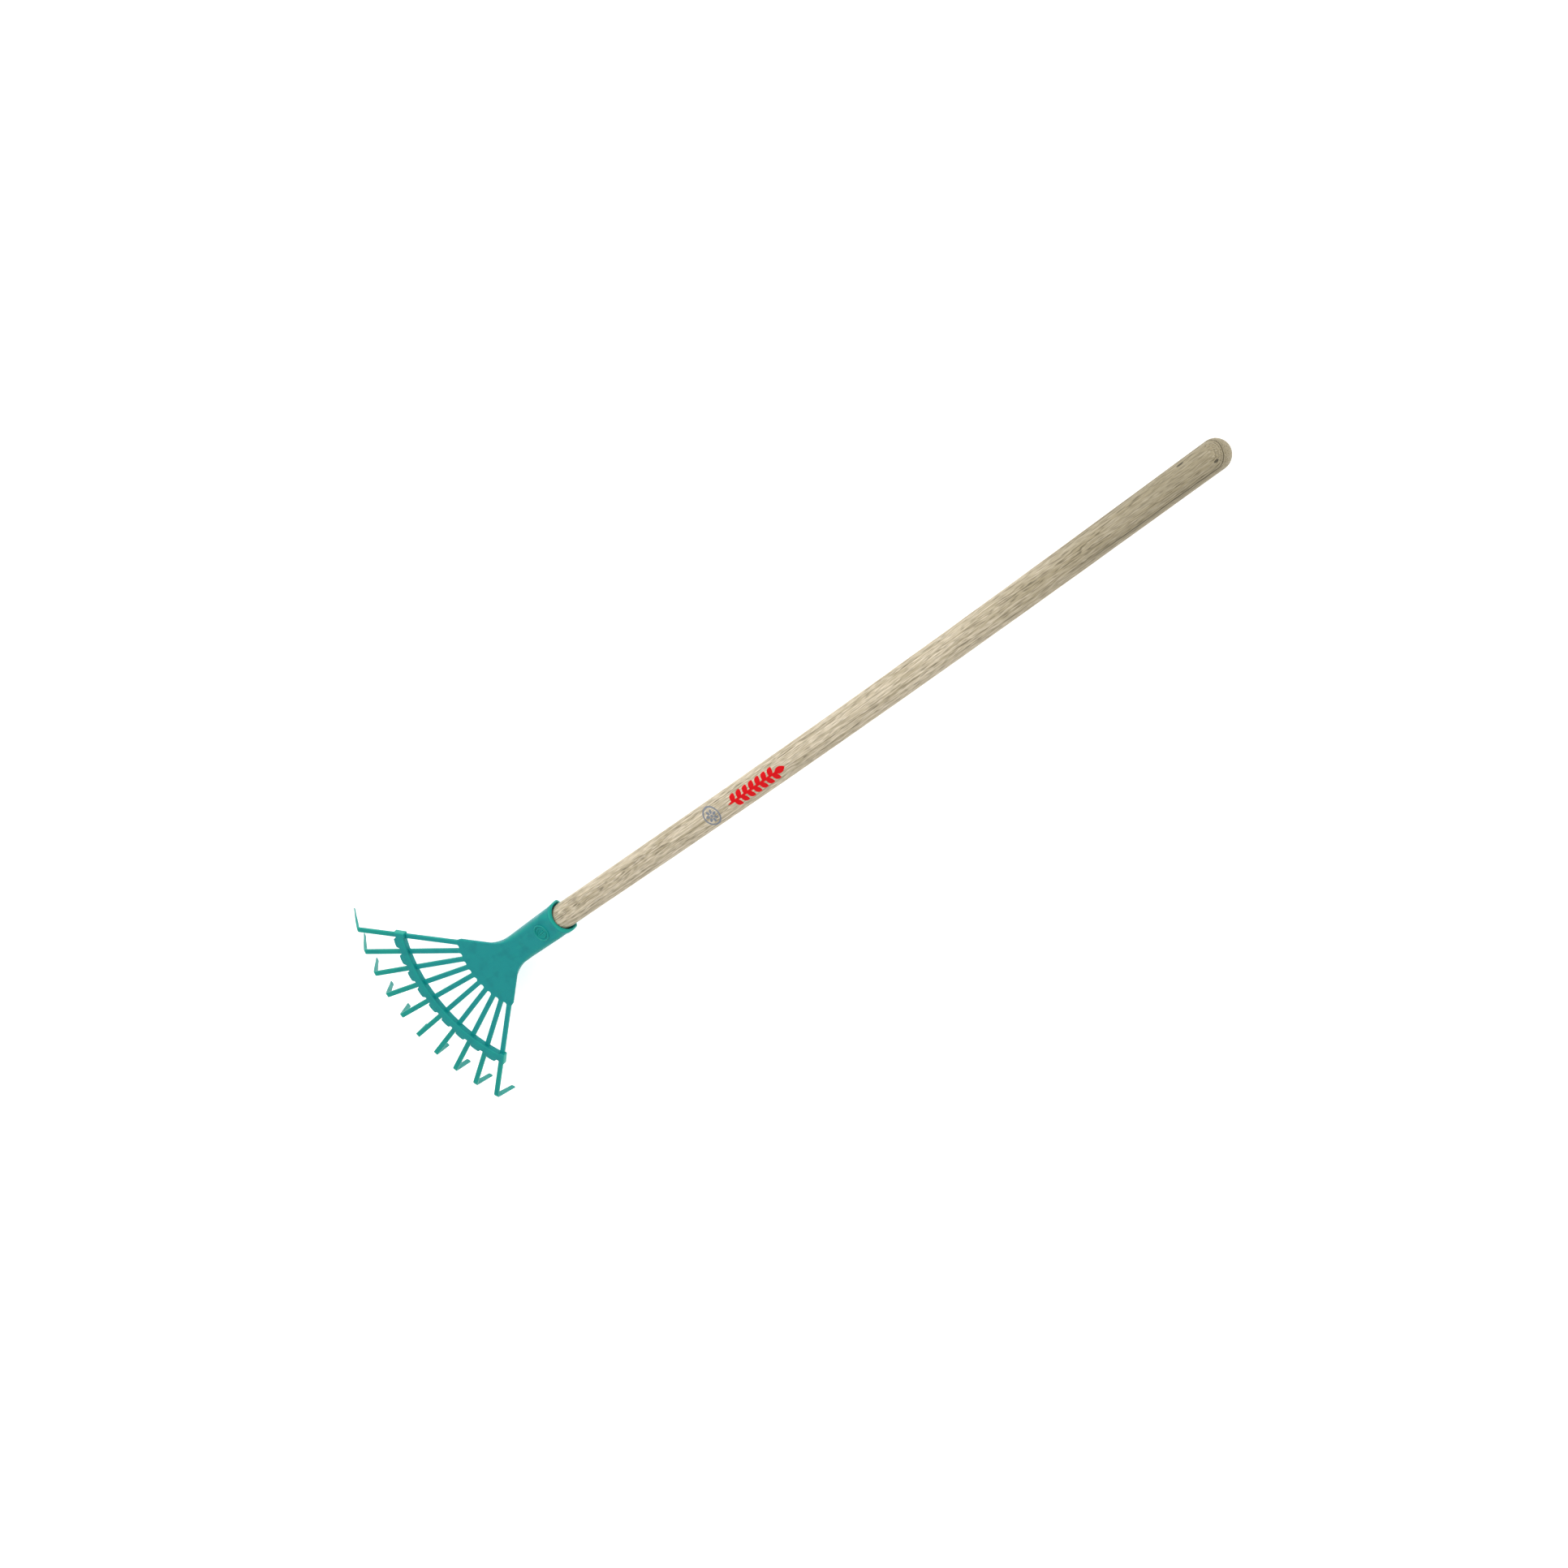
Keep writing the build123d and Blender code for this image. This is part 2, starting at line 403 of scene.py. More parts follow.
class Shader:
    """A material under construction."""

    def __init__(self, name: str) -> None:
        """Start an empty material with an output."""
        self.material = bpy.data.materials.new(name)
        self.material.use_nodes = True
        self.tree = self.material.node_tree
        self.tree.nodes.clear()

    def node(
        self, kind: str, settings: dict[str, Any] | None = None, sockets: dict[Any, Any] | None = None
    ) -> bpy.types.Node:
        """Make one node.

        Args:
            kind: Node type.
            settings: Properties of the node, which are set first.
            sockets: Values or links by input name or number.

        Returns:
            The node.
        """
        made = self.tree.nodes.new(kind)
        for name, value in (settings or {}).items():
            setattr(made, name, value)
        for name, value in (sockets or {}).items():
            if isinstance(value, Value):
                self.tree.links.new(value.socket, made.inputs[name])
            else:
                made.inputs[name].default_value = value
        return made

    def value(self, kind: str, output: Any, settings: dict[str, Any], sockets: dict[Any, Any]) -> Value:
        """Make one node and take one of its outputs."""
        return Value(self, self.node(kind, settings, sockets).outputs[output])

    def rake_coordinates(self, axes: RakeAxes) -> Value:
        """Object coordinates turned and centred to the rake's axes, in millimetres.

        Args:
            axes: The rake's axes in the frame.

        Returns:
            The turned coordinates.
        """
        spot = self.value("ShaderNodeTexCoord", "Object", {}, {})
        shift = -np.stack([axes.along, axes.across, axes.front]) @ axes.origin
        sockets = {
            0: spot,
            "Location": tuple(shift / METRE),
            "Rotation": (0.0, -axes.tip_angle, 0.0),
            "Scale": (1 / METRE,) * 3,
        }
        return self.value("ShaderNodeMapping", 0, {"vector_type": "POINT"}, sockets)

    def split(self, vector: Value) -> tuple[Value, Value, Value]:
        """Take a vector apart into its three values."""
        made = self.node("ShaderNodeSeparateXYZ", {}, {0: vector})
        return tuple(Value(self, made.outputs[k]) for k in range(3))

    def noise(self, vector: Value, grain: tuple[float, float, float], detail: float = 2.0) -> Value:
        """Soft noise with its own blotch size along each axis.

        Args:
            vector: Coordinates in millimetres.
            grain: Size of a blotch along each axis, in millimetres.
            detail: How many finer layers are added.

        Returns:
            A value about 0.5.
        """
        stretch = {0: vector, 1: tuple(1.0 / size for size in grain)}
        scaled = self.value("ShaderNodeVectorMath", 0, {"operation": "MULTIPLY"}, stretch)
        sockets = {"Vector": scaled, "Scale": 1.0, "Detail": detail}
        return self.value("ShaderNodeTexNoise", 0, {}, sockets)

    def mark(self, name: str) -> Value:
        """Read a piece's own attribute."""
        return self.value("ShaderNodeAttribute", "Fac", {"attribute_name": name}, {})

    def tint(self, first: Any, second: Any, share: Any, way: str = "MIX") -> Value:
        """Mix two colours by a share."""
        settings = {"data_type": "RGBA", "blend_type": way, "clamp_result": True}
        return self.value("ShaderNodeMix", 2, settings, {0: share, 6: first, 7: second})

    def bump(self, height: Value, depth: float, strength: float) -> Value:
        """Turn a height of 0 to 1 into a normal, with the depth in millimetres."""
        sockets = {"Height": height, "Distance": depth * METRE, "Strength": strength}
        return self.value("ShaderNodeBump", 0, {}, sockets)

    def finish(self, sockets: dict[str, Any]) -> bpy.types.Material:
        """Close the material with a Principled shader.

        Args:
            sockets: Values or links of the Principled shader.

        Returns:
            The material.
        """
        shader = self.node("ShaderNodeBsdfPrincipled", {}, sockets)
        self.node("ShaderNodeOutputMaterial", {}, {0: Value(self, shader.outputs[0])})
        return self.material


# ---- finishes ----------------------------------------------------------------------------


@dataclass(frozen=True)
class MouldedPlastic:
    """Satin teal polypropylene with softer, greener colour where edges catch the light."""

    body: Colour = from_srgb(8, 136, 136)
    # edge: painted highlight colour for lit edges and bends; also used faintly for random flow streaks
    edge: Colour = from_srgb(22, 164, 140)
    # tip: lighter painted tone for the sprung tines, standing in for the light their tilted outer
    # lengths catch
    tip: Colour = from_srgb(10, 142, 132)
    shade: Colour = from_srgb(4, 120, 124)
    blotch: float = 9.0
    grain: float = 0.28

    def material(self, axes: RakeAxes) -> bpy.types.Material:
        """Build the material.

        Args:
            axes: The rake's axes in the frame.

        Returns:
            The material, which reads the piece's rim and spring marks.
        """
        shader = Shader("teal_polypropylene")
        spot = shader.rake_coordinates(axes)
        cloud = shader.noise(spot, (self.blotch,) * 3, 3.0)
        texture = shader.noise(spot, (self.grain,) * 3, 2.0)
        flow = shader.noise(spot, (14.0, 3.0, 3.0), 2.0)
        rim = shader.mark("rim")
        # painted light: the spring mark lightens the sprung tines beyond the brace
        colour = shader.tint(self.body, self.tip, shader.mark("spring"))
        colour = shader.tint(colour, self.shade, cloud.above(0.45, 0.72) * 0.55)
        colour = shader.tint(colour, self.edge, flow.above(0.52, 0.75) * 0.15)
        # painted highlight: the rim mark mixes in the lighter edge colour where edges and bends catch
        # the light
        colour = shader.tint(colour, self.edge, rim * 0.6)
        rough = 0.36 + cloud * 0.12 + texture * 0.08 - rim * 0.06
        normal = shader.bump(texture * 0.7 + cloud * 0.3, 0.03, 0.22)
        return shader.finish(
            {"Base Color": colour, "Roughness": rough, "Normal": normal, "Specular IOR Level": 0.22}
        )


@dataclass(frozen=True)
class PlanedWood:
    """Pale hardwood dowel: growth layers, pores in short dashes, and a browner grip end."""

    fresh: Colour = from_srgb(204, 191, 166)
    handled: Colour = from_srgb(157, 147, 123)
    late: Colour = from_srgb(150, 138, 108)
    pale: Colour = from_srgb(238, 226, 206)
    pore: Colour = from_srgb(88, 80, 60)
    pith_side: float = -19.0
    pith_depth: float = -53.0
    layer: float = 2.3

    def material(self, axes: RakeAxes, dark_layer: float, knots: Knots) -> bpy.types.Material:
        """Build the material.

        The distance from a pith line that runs beside the handle, divided by the layer
        thickness, counts growth layers. Its fraction gives soft wood that darkens slowly
        and ends in a thin dark line.

        Args:
            axes: The rake's axes in the frame.
            dark_layer: Distance from the pith of the one dark layer near the grip.
            knots: Flecks as x, y, z, length and width.

        Returns:
            The material.
        """
        shader = Shader("planed_ash")
        spot = shader.rake_coordinates(axes)
        along, side, front = shader.split(spot)
        wander = shader.noise(spot, (90.0, 16.0, 16.0), 2.0) - 0.5
        ripple = shader.noise(spot, (22.0, 3.0, 3.0), 3.0) - 0.5
        off_side = side - self.pith_side
        off_front = front - self.pith_depth
        distance = (off_side * off_side + off_front * off_front) ** 0.5
        depth = distance + wander * 3.4 + ripple * 0.9 + along * 0.006
        phase = (depth / self.layer).fraction()
        late = phase.above(0.35, 0.93) * phase.below(1.0, 0.95)
        fibre = shader.noise(spot, (60.0, 0.6, 0.6), 2.0)
        dash = shader.noise(spot, (7.5, 0.5, 0.5), 0.5)
        flare = shader.noise(spot, (8.5, 0.55, 0.55), 0.5)
        blush = shader.noise(spot, (60.0, 7.0, 7.0), 2.0)
        pores = dash.above(0.52, 0.64) * (0.55 + late * 0.45)
        colour = shader.tint(self.fresh, self.handled, along.above(420.0, 660.0))
        colour = shader.tint(colour, self.late, blush.above(0.42, 0.75) * 0.22)
        colour = shader.tint(colour, self.late, late * 0.5)
        fresh_end = along.below(640.0, 380.0) * 0.75 + 0.25
        colour = shader.tint(colour, self.pale, flare.above(0.52, 0.64) * fresh_end * 0.62)
        colour = shader.tint(colour, self.late, fibre.above(0.48, 0.60) * 0.6)
        colour = shader.tint(colour, self.pore, pores * 0.72)
        beside = (depth - dark_layer).size()
        grip_end = along.above(520.0, 610.0)
        threads = (depth / 1.05).fraction().below(0.42, 0.12) * beside.below(3.6, 0.9)
        colour = shader.tint(colour, self.pore, threads * grip_end * 0.5)
        seam = beside.below(0.5, 0.16) * grip_end
        colour = shader.tint(colour, self.pore, seam * (0.5 + dash * 0.7))
        flecks: Any = 0.0
        for x, y, z, length, width in knots:
            square = ((along - x) / length) ** 2.0
            square = square + ((side - y) / width) ** 2.0 + ((front - z) / width) ** 2.0
            flecks = square.below(1.0, 0.45) + flecks
        colour = shader.tint(colour, from_srgb(58, 52, 40), flecks * 0.85)
        height = 0.8 - pores * 0.5 - fibre * 0.25 - late * 0.15
        rough = 0.62 + fibre * 0.12 - late * 0.08
        normal = shader.bump(height, 0.12, 0.45)
        return shader.finish(
            {"Base Color": colour, "Roughness": rough, "Normal": normal, "Specular IOR Level": 0.3}
        )


@dataclass(frozen=True)
class PrintInk:
    """Flat ink printed on the wood, thin enough for the grain to break it up a little."""

    name: str
    colour: Colour
    worn: Colour
    roughness: float = 0.5

    def material(self, axes: RakeAxes) -> bpy.types.Material:
        """Build the material.

        Args:
            axes: The rake's axes in the frame.

        Returns:
            The material.
        """
        shader = Shader(self.name)
        spot = shader.rake_coordinates(axes)
        grain = shader.noise(spot, (6.0, 0.4, 0.4), 2.0)
        colour = shader.tint(self.colour, self.worn, grain.above(0.50, 0.72) * 0.55)
        rough = self.roughness + grain * 0.15
        normal = shader.bump(grain, 0.05, 0.3)
        return shader.finish(
            {"Base Color": colour, "Roughness": rough, "Normal": normal, "Specular IOR Level": 0.15}
        )


@dataclass(frozen=True)
class PlatedSteel:
    """Zinc-plated screw with turning marks and a little dulling."""

    bright: Colour = (0.62, 0.62, 0.60, 1.0)
    dull: Colour = (0.36, 0.36, 0.35, 1.0)

    def material(self, axes: RakeAxes) -> bpy.types.Material:
        """Build the material.

        Args:
            axes: The rake's axes in the frame.

        Returns:
            The material.
        """
        shader = Shader("zinc_plate")
        spot = shader.rake_coordinates(axes)
        cloud = shader.noise(spot, (0.9, 0.9, 0.9), 3.0)
        lines = shader.noise(spot, (0.15, 1.6, 0.15), 2.0)
        colour = shader.tint(self.bright, self.dull, cloud.above(0.4, 0.7))
        rough = 0.24 + cloud * 0.18 + lines * 0.08
        normal = shader.bump(lines, 0.01, 0.3)
        return shader.finish(
            {"Base Color": colour, "Metallic": 1.0, "Roughness": rough, "Normal": normal}
        )


# ---- the head: socket, neck and plate as one moulded skin -----------------------------------


@dataclass
class HeadShell:
    """Socket, neck, back nose and fan plate, moulded as one.

    Rings run from the bottom of the bore out to the mouth, back along the socket, and over the
    plate to its slotted outer edge. A ring is its front half, from the last tine's side to the
    first tine's side, and then its back half the other way.
    """

    layout: FanLayout
    plate_radius: float = 57.5
    corner_reach: float = 41.2
    corner_side: float = 32.4
    shoulder_reach: float = 11.0
    shoulder_radius: float = 30.0
    neck_half: float = 11.5
    socket_half: float = 12.0
    collar_end: float = 4.0
    socket_end: float = 50.0
    neck_depth: float = 9.2
    front_corner: float = 4.0
    back_corner: float = 6.5
    mouth_half: float = 13.0
    mouth_corner: float = 10.4
    band: float = 3.0
    band_step: float = 0.45
    scoop: float = 2.9
    back_scoop: float = 9.0
    scoop_end: float = 20.0
    flare_end: float = 13.0
    bore_radius: float = 10.05
    bore_tip: float = 7.85
    bore_length: float = 46.0
    nose_reach: float = 36.0
    nose_half: float = 13.5
    arc_steps: int = 8
    slot_steps: int = 13
    finger_steps: int = 3
    lead_steps: int = 4
    bevel: float = 0.7

    def edge_angles(self) -> tuple[float, float]:
        """Half angle of the plate at its widest corner and at its outer edge, in radians."""
        outer = abs(self.layout.angle(0)) + self.layout.tine_width / 2 / self.plate_radius
        return math.atan2(self.corner_side, self.corner_reach), outer

    def bite(self) -> float:
        """Radius of the half circle between two tines at the plate's outer edge."""
        return (math.radians(self.layout.pitch) * self.plate_radius - self.layout.tine_width) / 2

    def outer_edge(self) -> Array:
        """Outer edge of the plate as points of reach and side, from the last tine to the first.

        Between two tines the edge is a half circle that bites inwards, and on a tine it is the
        arc of the plate's radius.

        Returns:
            Points of reach and side inside the rounded side edges.
        """
        lay = self.layout
        bite = self.bite()
        turn = np.linspace(0.0, np.pi, self.slot_steps)
        gaps = np.array([lay.angle(lay.tines - 1 - gap - 0.5) for gap in range(lay.tines - 1)])
        reach = self.plate_radius - bite * np.sin(turn)
        side = -bite * np.cos(turn)
        cosine, sine = np.cos(gaps)[:, None], np.sin(gaps)[:, None]
        slots = np.stack([reach * cosine - side * sine, reach * sine + side * cosine], axis=-1)
        share = (np.arange(self.finger_steps) + 1.0)[:, None] / (self.finger_steps + 1)
        fingers = mixed(slots[:-1, None, -1], slots[1:, None, 0], share)
        last = self.edge_angles()[1]
        first = gaps[-1] + 1.35 * bite / self.plate_radius
        lead = np.linspace(first, last - 1.5 / self.plate_radius, self.lead_steps)
        outer = self.plate_radius * np.stack([np.cos(lead), np.sin(lead)], axis=-1)
        inner = [np.concatenate([slots[k], fingers[k]]) for k in range(lay.tines - 2)]
        mirrored = outer[::-1] * np.array([1.0, -1.0])
        return np.concatenate([mirrored, *inner, slots[-1], outer])

    def edge_normals(self, line: Array) -> Array:
        """Outward directions along the plate's outer edge.

        On a tine the direction is away from the apex. Along the half circle between two tines
        it is towards the half circle's middle.

        Args:
            line: Reach and side of the edge's points, the rounded side edges included.

        Returns:
            Unit directions of reach and side.
        """
        lay = self.layout
        bite = self.bite()
        normals = line / np.linalg.norm(line, axis=1, keepdims=True)
        for gap in range(lay.tines - 1):
            start = self.arc_steps + self.lead_steps + gap * (self.slot_steps + self.finger_steps)
            spot = slice(start, start + self.slot_steps)
            middle = lay.angle(lay.tines - 1.5 - gap)
            centre = self.plate_radius * np.array([math.cos(middle), math.sin(middle)])
            normals[spot] = (centre - line[spot]) / bite
        return normals

    def side_edge(self, reach: Array) -> Array:
        """Half width of neck and plate: straight, then an arc, then a straight slanted edge.

        Args:
            reach: Distances from the apex.

        Returns:
            Half widths.
        """
        slope = math.atan2(self.corner_side - self.neck_half, self.corner_reach - self.shoulder_reach)
        start = self.shoulder_reach - self.shoulder_radius * math.tan(slope / 2)
        bent = np.clip(reach - start, 0.0, self.shoulder_radius * math.sin(slope))
        arc = self.neck_half + self.shoulder_radius - np.sqrt(self.shoulder_radius**2 - bent**2)
        beyond = np.maximum(reach - start - self.shoulder_radius * math.sin(slope), 0.0)
        return arc + beyond * math.tan(slope)

    def section(
        self, half: Array, front: Array, back: Array, corners: tuple[Array, Array]
    ) -> tuple[Array, Array, Array]:
        """Side distances and heights of rounded rectangles, one for each station.

        Args:
            half: Half width at each station.
            front: Height of the front face.
            back: Height of the back face, below zero.
            corners: Corner radii at the front and at the back.

        Returns:
            Side distances of the front half and of the back half, and both rows of heights.
        """
        turn = np.linspace(0.0, np.pi / 2, self.arc_steps)
        edge = self.outer_edge()[:, 1]
        spread = edge / (np.abs(edge).max() + 0.35)
        rows = []
        for radius, level, way in ((corners[0], front, 1.0), (corners[1], back, -1.0)):
            radius = radius[:, None]
            wing = half[:, None] - radius + radius * np.cos(turn)
            rise = level[:, None] - way * radius * (1.0 - np.sin(turn))
            flat = (half[:, None] - radius) * spread
            side = np.concatenate([-wing, flat, wing[:, ::-1]], axis=1)
            height = np.concatenate([rise, level[:, None] + 0.0 * flat, rise[:, ::-1]], axis=1)
            rows.append((side, height))
        (front_side, front_height), (back_side, back_height) = rows
        return front_side, back_side, np.stack([front_height, back_height])

    def socket_rings(self) -> tuple[Array, Array]:
        """Rings from the bottom of the bore, round the rim and back to the end of the socket.

        The rim is scooped towards the fan by a depth times sin(a) to the power 1.4 at angle a
        round the handle, deeper at the back than at the front, and it fades along the flare.

        Returns:
            The rings, and the painted edge highlight on each point, 0 to 1, highest on the mouth's lip
            and the front corners.
        """
        collar = self.band + np.array([-0.3, 0.0, 0.35, 0.8])
        back = np.linspace(self.flare_end, self.socket_end - 4.0, 11)
        rest = self.socket_end - np.array([2.0, 0.8])
        steps = np.concatenate([[0.0, 0.5, 0.9, 1.6], collar, [5.5, 7.5, 10.0], back, rest])
        flare = 1.0 - between(steps, 0.0, self.flare_end)
        step = self.band_step * (1.0 - between(steps, self.band - 0.1, self.band + 0.5))
        slope_length = self.socket_end - self.collar_end
        lean = np.clip((steps - self.collar_end) / slope_length, 0.0, 1.0)
        flared = (self.mouth_half - self.socket_half - self.band_step) * flare**1.5
        half = mixed(self.socket_half, self.neck_half, lean) + flared + step
        depth = mixed(self.socket_half, self.neck_depth, lean) + flared + step
        lip = np.array([0.55, 0.12] + [0.0] * (len(steps) - 2))
        half, depth = half - lip, depth - lip
        front_round = mixed(self.front_corner, self.mouth_corner, flare)
        back_round = mixed(self.back_corner, self.mouth_corner, flare)
        front_side, back_side, heights = self.section(half, depth, -depth, (front_round, back_round))
        side = np.concatenate([front_side, back_side[:, ::-1]], axis=1)
        height = np.concatenate([heights[0], heights[1][:, ::-1]], axis=1)
        around = np.arctan2(height, side)
        scoop = np.where(around > 0.0, self.scoop, self.back_scoop) * np.abs(np.sin(around)) ** 1.4
        fade = 1.0 - between(steps, 0.0, self.scoop_end)
        rim = -steps[:, None] - scoop * fade[:, None]
        outer = np.stack([rim, side, height], axis=-1)
        mouth = outer[0]
        turn = around[0]
        loose = 10.6 + 1.15 * np.cos(turn) ** 2
        inner = np.stack([loose * np.cos(turn), loose * np.sin(turn)], axis=-1)
        shares = np.array([1.0, 0.96, 0.85, 0.5, 0.15])[:, None, None]
        face = mixed(mouth[None, :, 1:], inner[None], shares)
        dip = np.array([-0.55, -0.1, 0.18, 0.18, 0.12])[:, None]
        face_x = mouth[None, :, 0] + dip
        lip_rings = np.concatenate([face_x[..., None], face], axis=-1)
        bottom = [self.bore_length, self.bore_length - 0.5]
        bore_at = np.array(bottom + [30.0, 20.0, 14.0, 9.0, 5.0, 2.5, 1.2])
        taper = mixed(self.bore_radius, self.bore_tip, bore_at / self.bore_length)
        taper[0] -= 0.5
        widen = (1.0 - between(bore_at, 0.0, 6.5))[:, None]
        radius = mixed(taper[:, None], loose[None, :], widen)
        deep = (1.0 - between(bore_at, 0.0, self.scoop_end))[:, None]
        bore_x = -bore_at[:, None] - scoop[0][None, :] * deep
        bore = np.stack([bore_x, radius * np.cos(turn), radius * np.sin(turn)], axis=-1)
        rings = np.concatenate([bore, lip_rings, outer])
        near = np.zeros(rings.shape[:2])
        rim_start, rim_rows, collar_rows = len(bore) + 1, 7, 5
        # painted highlight: the mouth's rounded lip and, behind the collar, the socket's front corners
        near[rim_start : rim_start + rim_rows] = 0.85
        near[len(bore) + len(lip_rings) + collar_rows :] = self.corner_marks() * 0.9
        return rings, near

    def corner_marks(self) -> Array:
        """Painted highlight along the front corners of a ring: a bell about the corner's middle, none
        on the back half.

        Returns:
            One value, 0 to 0.6, for each point of a ring.
        """
        turn = np.linspace(0.0, np.pi / 2, self.arc_steps)
        bright = np.exp(-(((turn - 0.95) / 0.3) ** 2)) * 0.6
        flat = np.zeros(len(self.outer_edge()))
        front = np.concatenate([bright, flat, bright[::-1]])
        return np.concatenate([front, 0.0 * front])

    def plate_rings(self) -> tuple[Array, Array]:
        """Rings from the end of the socket over the plate to its rounded outer edge.

        The side edge is walked from neck to corner. Between its two sides a ring bows outwards
        by s (cos t - cos e) / (1 - cos e) at fan angle t, which makes the last one an arc about
        the apex. From there straight lines run to the slotted edge, which is rounded over.

        Returns:
            The rings, and the painted edge highlight on each point, 0 to 1, full on the rounded outer
            edge.
        """
        lay = self.layout
        edge = self.outer_edge()
        wide = self.edge_angles()
        turn = np.linspace(0.0, np.pi / 2, self.arc_steps)
        soft = lay.half_plate * 0.92
        limit = self.plate_radius * math.sin(wide[1])
        wing = limit - soft + soft * np.cos(turn)
        wing_reach = np.sqrt(self.plate_radius**2 - wing**2)
        wing_drop = 1.0 - np.sin(turn)
        end_side = np.concatenate([-wing, edge[:, 1], wing[::-1]])
        end_reach = np.concatenate([wing_reach, edge[:, 0], wing_reach[::-1]])
        drop = np.concatenate([wing_drop, np.zeros(len(edge)), wing_drop[::-1]])

        start = self.socket_end - lay.apex_setback
        spread = np.linspace(20.0, self.corner_reach, 9)[1:]
        reach = np.concatenate([np.linspace(start, 20.0, 24), spread])
        half = self.side_edge(reach)
        share = between(reach, start, 16.0)
        angle = np.arctan2(end_side, end_reach)
        outermost = between(np.abs(angle), math.radians(29.0), wide[1])
        angle = angle + np.sign(angle) * (wide[0] - wide[1]) * outermost
        fraction = np.sin(angle) / math.sin(wide[0])
        bow = (np.cos(angle) - math.cos(wide[0])) / (1.0 - math.cos(wide[0]))
        sagitta = math.hypot(self.corner_reach, self.corner_side) - self.corner_reach
        at = reach[:, None] + sagitta * between(reach, 0.0, self.corner_reach)[:, None] * bow

        socket_half = np.full(len(reach), self.neck_half)
        corners = np.full(len(reach), self.front_corner), np.full(len(reach), self.back_corner)
        level = np.full(len(reach), self.neck_depth)
        front_side, back_side, heights = self.section(socket_half, level, -level, corners)
        weight = share[:, None]
        front_y = mixed(front_side, half[:, None] * fraction, weight)
        back_y = mixed(back_side, half[:, None] * fraction, weight)
        top = self.neck_depth
        front_z = mixed(heights[0], top - soft * drop, weight)
        under = lay.apex_height - lay.half_plate
        hem = mixed(-self.neck_depth, under, between(reach, start, 19.0))[:, None]
        deep = mixed(-self.neck_depth, under, between(at, start, self.nose_reach))
        nose = mixed(self.neck_half, self.nose_half, between(reach, start, self.nose_reach))[:, None]
        ridge = np.clip(1.0 - (back_y / nose) ** 2, 0.0, 1.0) ** 2
        base = mixed(heights[1] + self.neck_depth, soft * drop, weight)
        back_z = hem + base + (deep - hem) * ridge
        body = self.weave(at, (front_y, back_y), (front_z, back_z))

        rim_line = np.stack([end_reach, end_side], axis=-1)
        outward = self.edge_normals(rim_line)
        inset = rim_line - outward * self.bevel
        arc_line = np.stack([at[-1], front_y[-1]], axis=-1)
        lead = np.array([0.15, 0.35, 0.55, 0.72, 0.86, 0.95, 1.0])[:, None, None]
        out_line = mixed(arc_line[None], inset[None], lead)
        half_thick = np.broadcast_to(front_z[-1] - lay.apex_height, out_line.shape[:2])
        roll = np.linspace(0.0, np.pi / 2, 6)[1:]
        rim = inset[None] + outward[None] * self.bevel * np.sin(roll)[:, None, None]
        thin = (lay.half_plate - self.bevel * (1.0 - np.cos(roll))) / lay.half_plate
        rim_half = half_thick[-1][None] * thin[:, None]
        lines = np.concatenate([out_line, rim])
        halves = np.concatenate([half_thick, rim_half])
        sides, levels = lines[..., 1], (lay.apex_height + halves, lay.apex_height - halves)
        outer = self.weave(lines[..., 0], (sides, sides), levels)
        rings = np.concatenate([body, outer])
        # painted highlight along the front corners and, in full, over the rounded outer edge
        near = np.tile(self.corner_marks() * 0.9, (len(rings), 1))
        rolled = len(rim) + 1
        near[-rolled:] = 1.0
        near[-rolled - 1] = 0.6
        return rings, near

    def weave(
        self, reach: Array, sides: tuple[Array, Array], heights: tuple[Array, Array]
    ) -> Array:
        """Join front and back halves into rings.

        Args:
            reach: Reach of each point of a half.
            sides: Side distances of the front half and of the back half.
            heights: Heights above the handle's axis of the front half and of the back half.

        Returns:
            Points shaped station by count by 3.
        """
        x = -self.layout.apex_setback - reach
        front = np.stack([x, sides[0], heights[0]], axis=-1)
        back = np.stack([x, sides[1], heights[1]], axis=-1)
        return np.concatenate([front, back[:, ::-1]], axis=1)

    def build(self, axes: RakeAxes, finish: bpy.types.Material) -> bpy.types.Object:
        """Build and dress the shell.

        Args:
            axes: The rake's axes in the frame.
            finish: The head's plastic.

        Returns:
            The piece.
        """
        socket, socket_highlight = self.socket_rings()
        plate, plate_highlight = self.plate_rings()
        rings = np.concatenate([socket, plate])
        # the rim mark carries the painted edge highlight
        near = np.concatenate([socket_highlight, plate_highlight])
        skin = Skin.from_rings(rings, rim=near, spring=np.zeros(near.shape))
        piece = skin.build("head_shell", axes)
        piece.data.materials.append(finish)
        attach(piece, RAKE_BODY)
        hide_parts("socket", "fan_plate")
        return piece


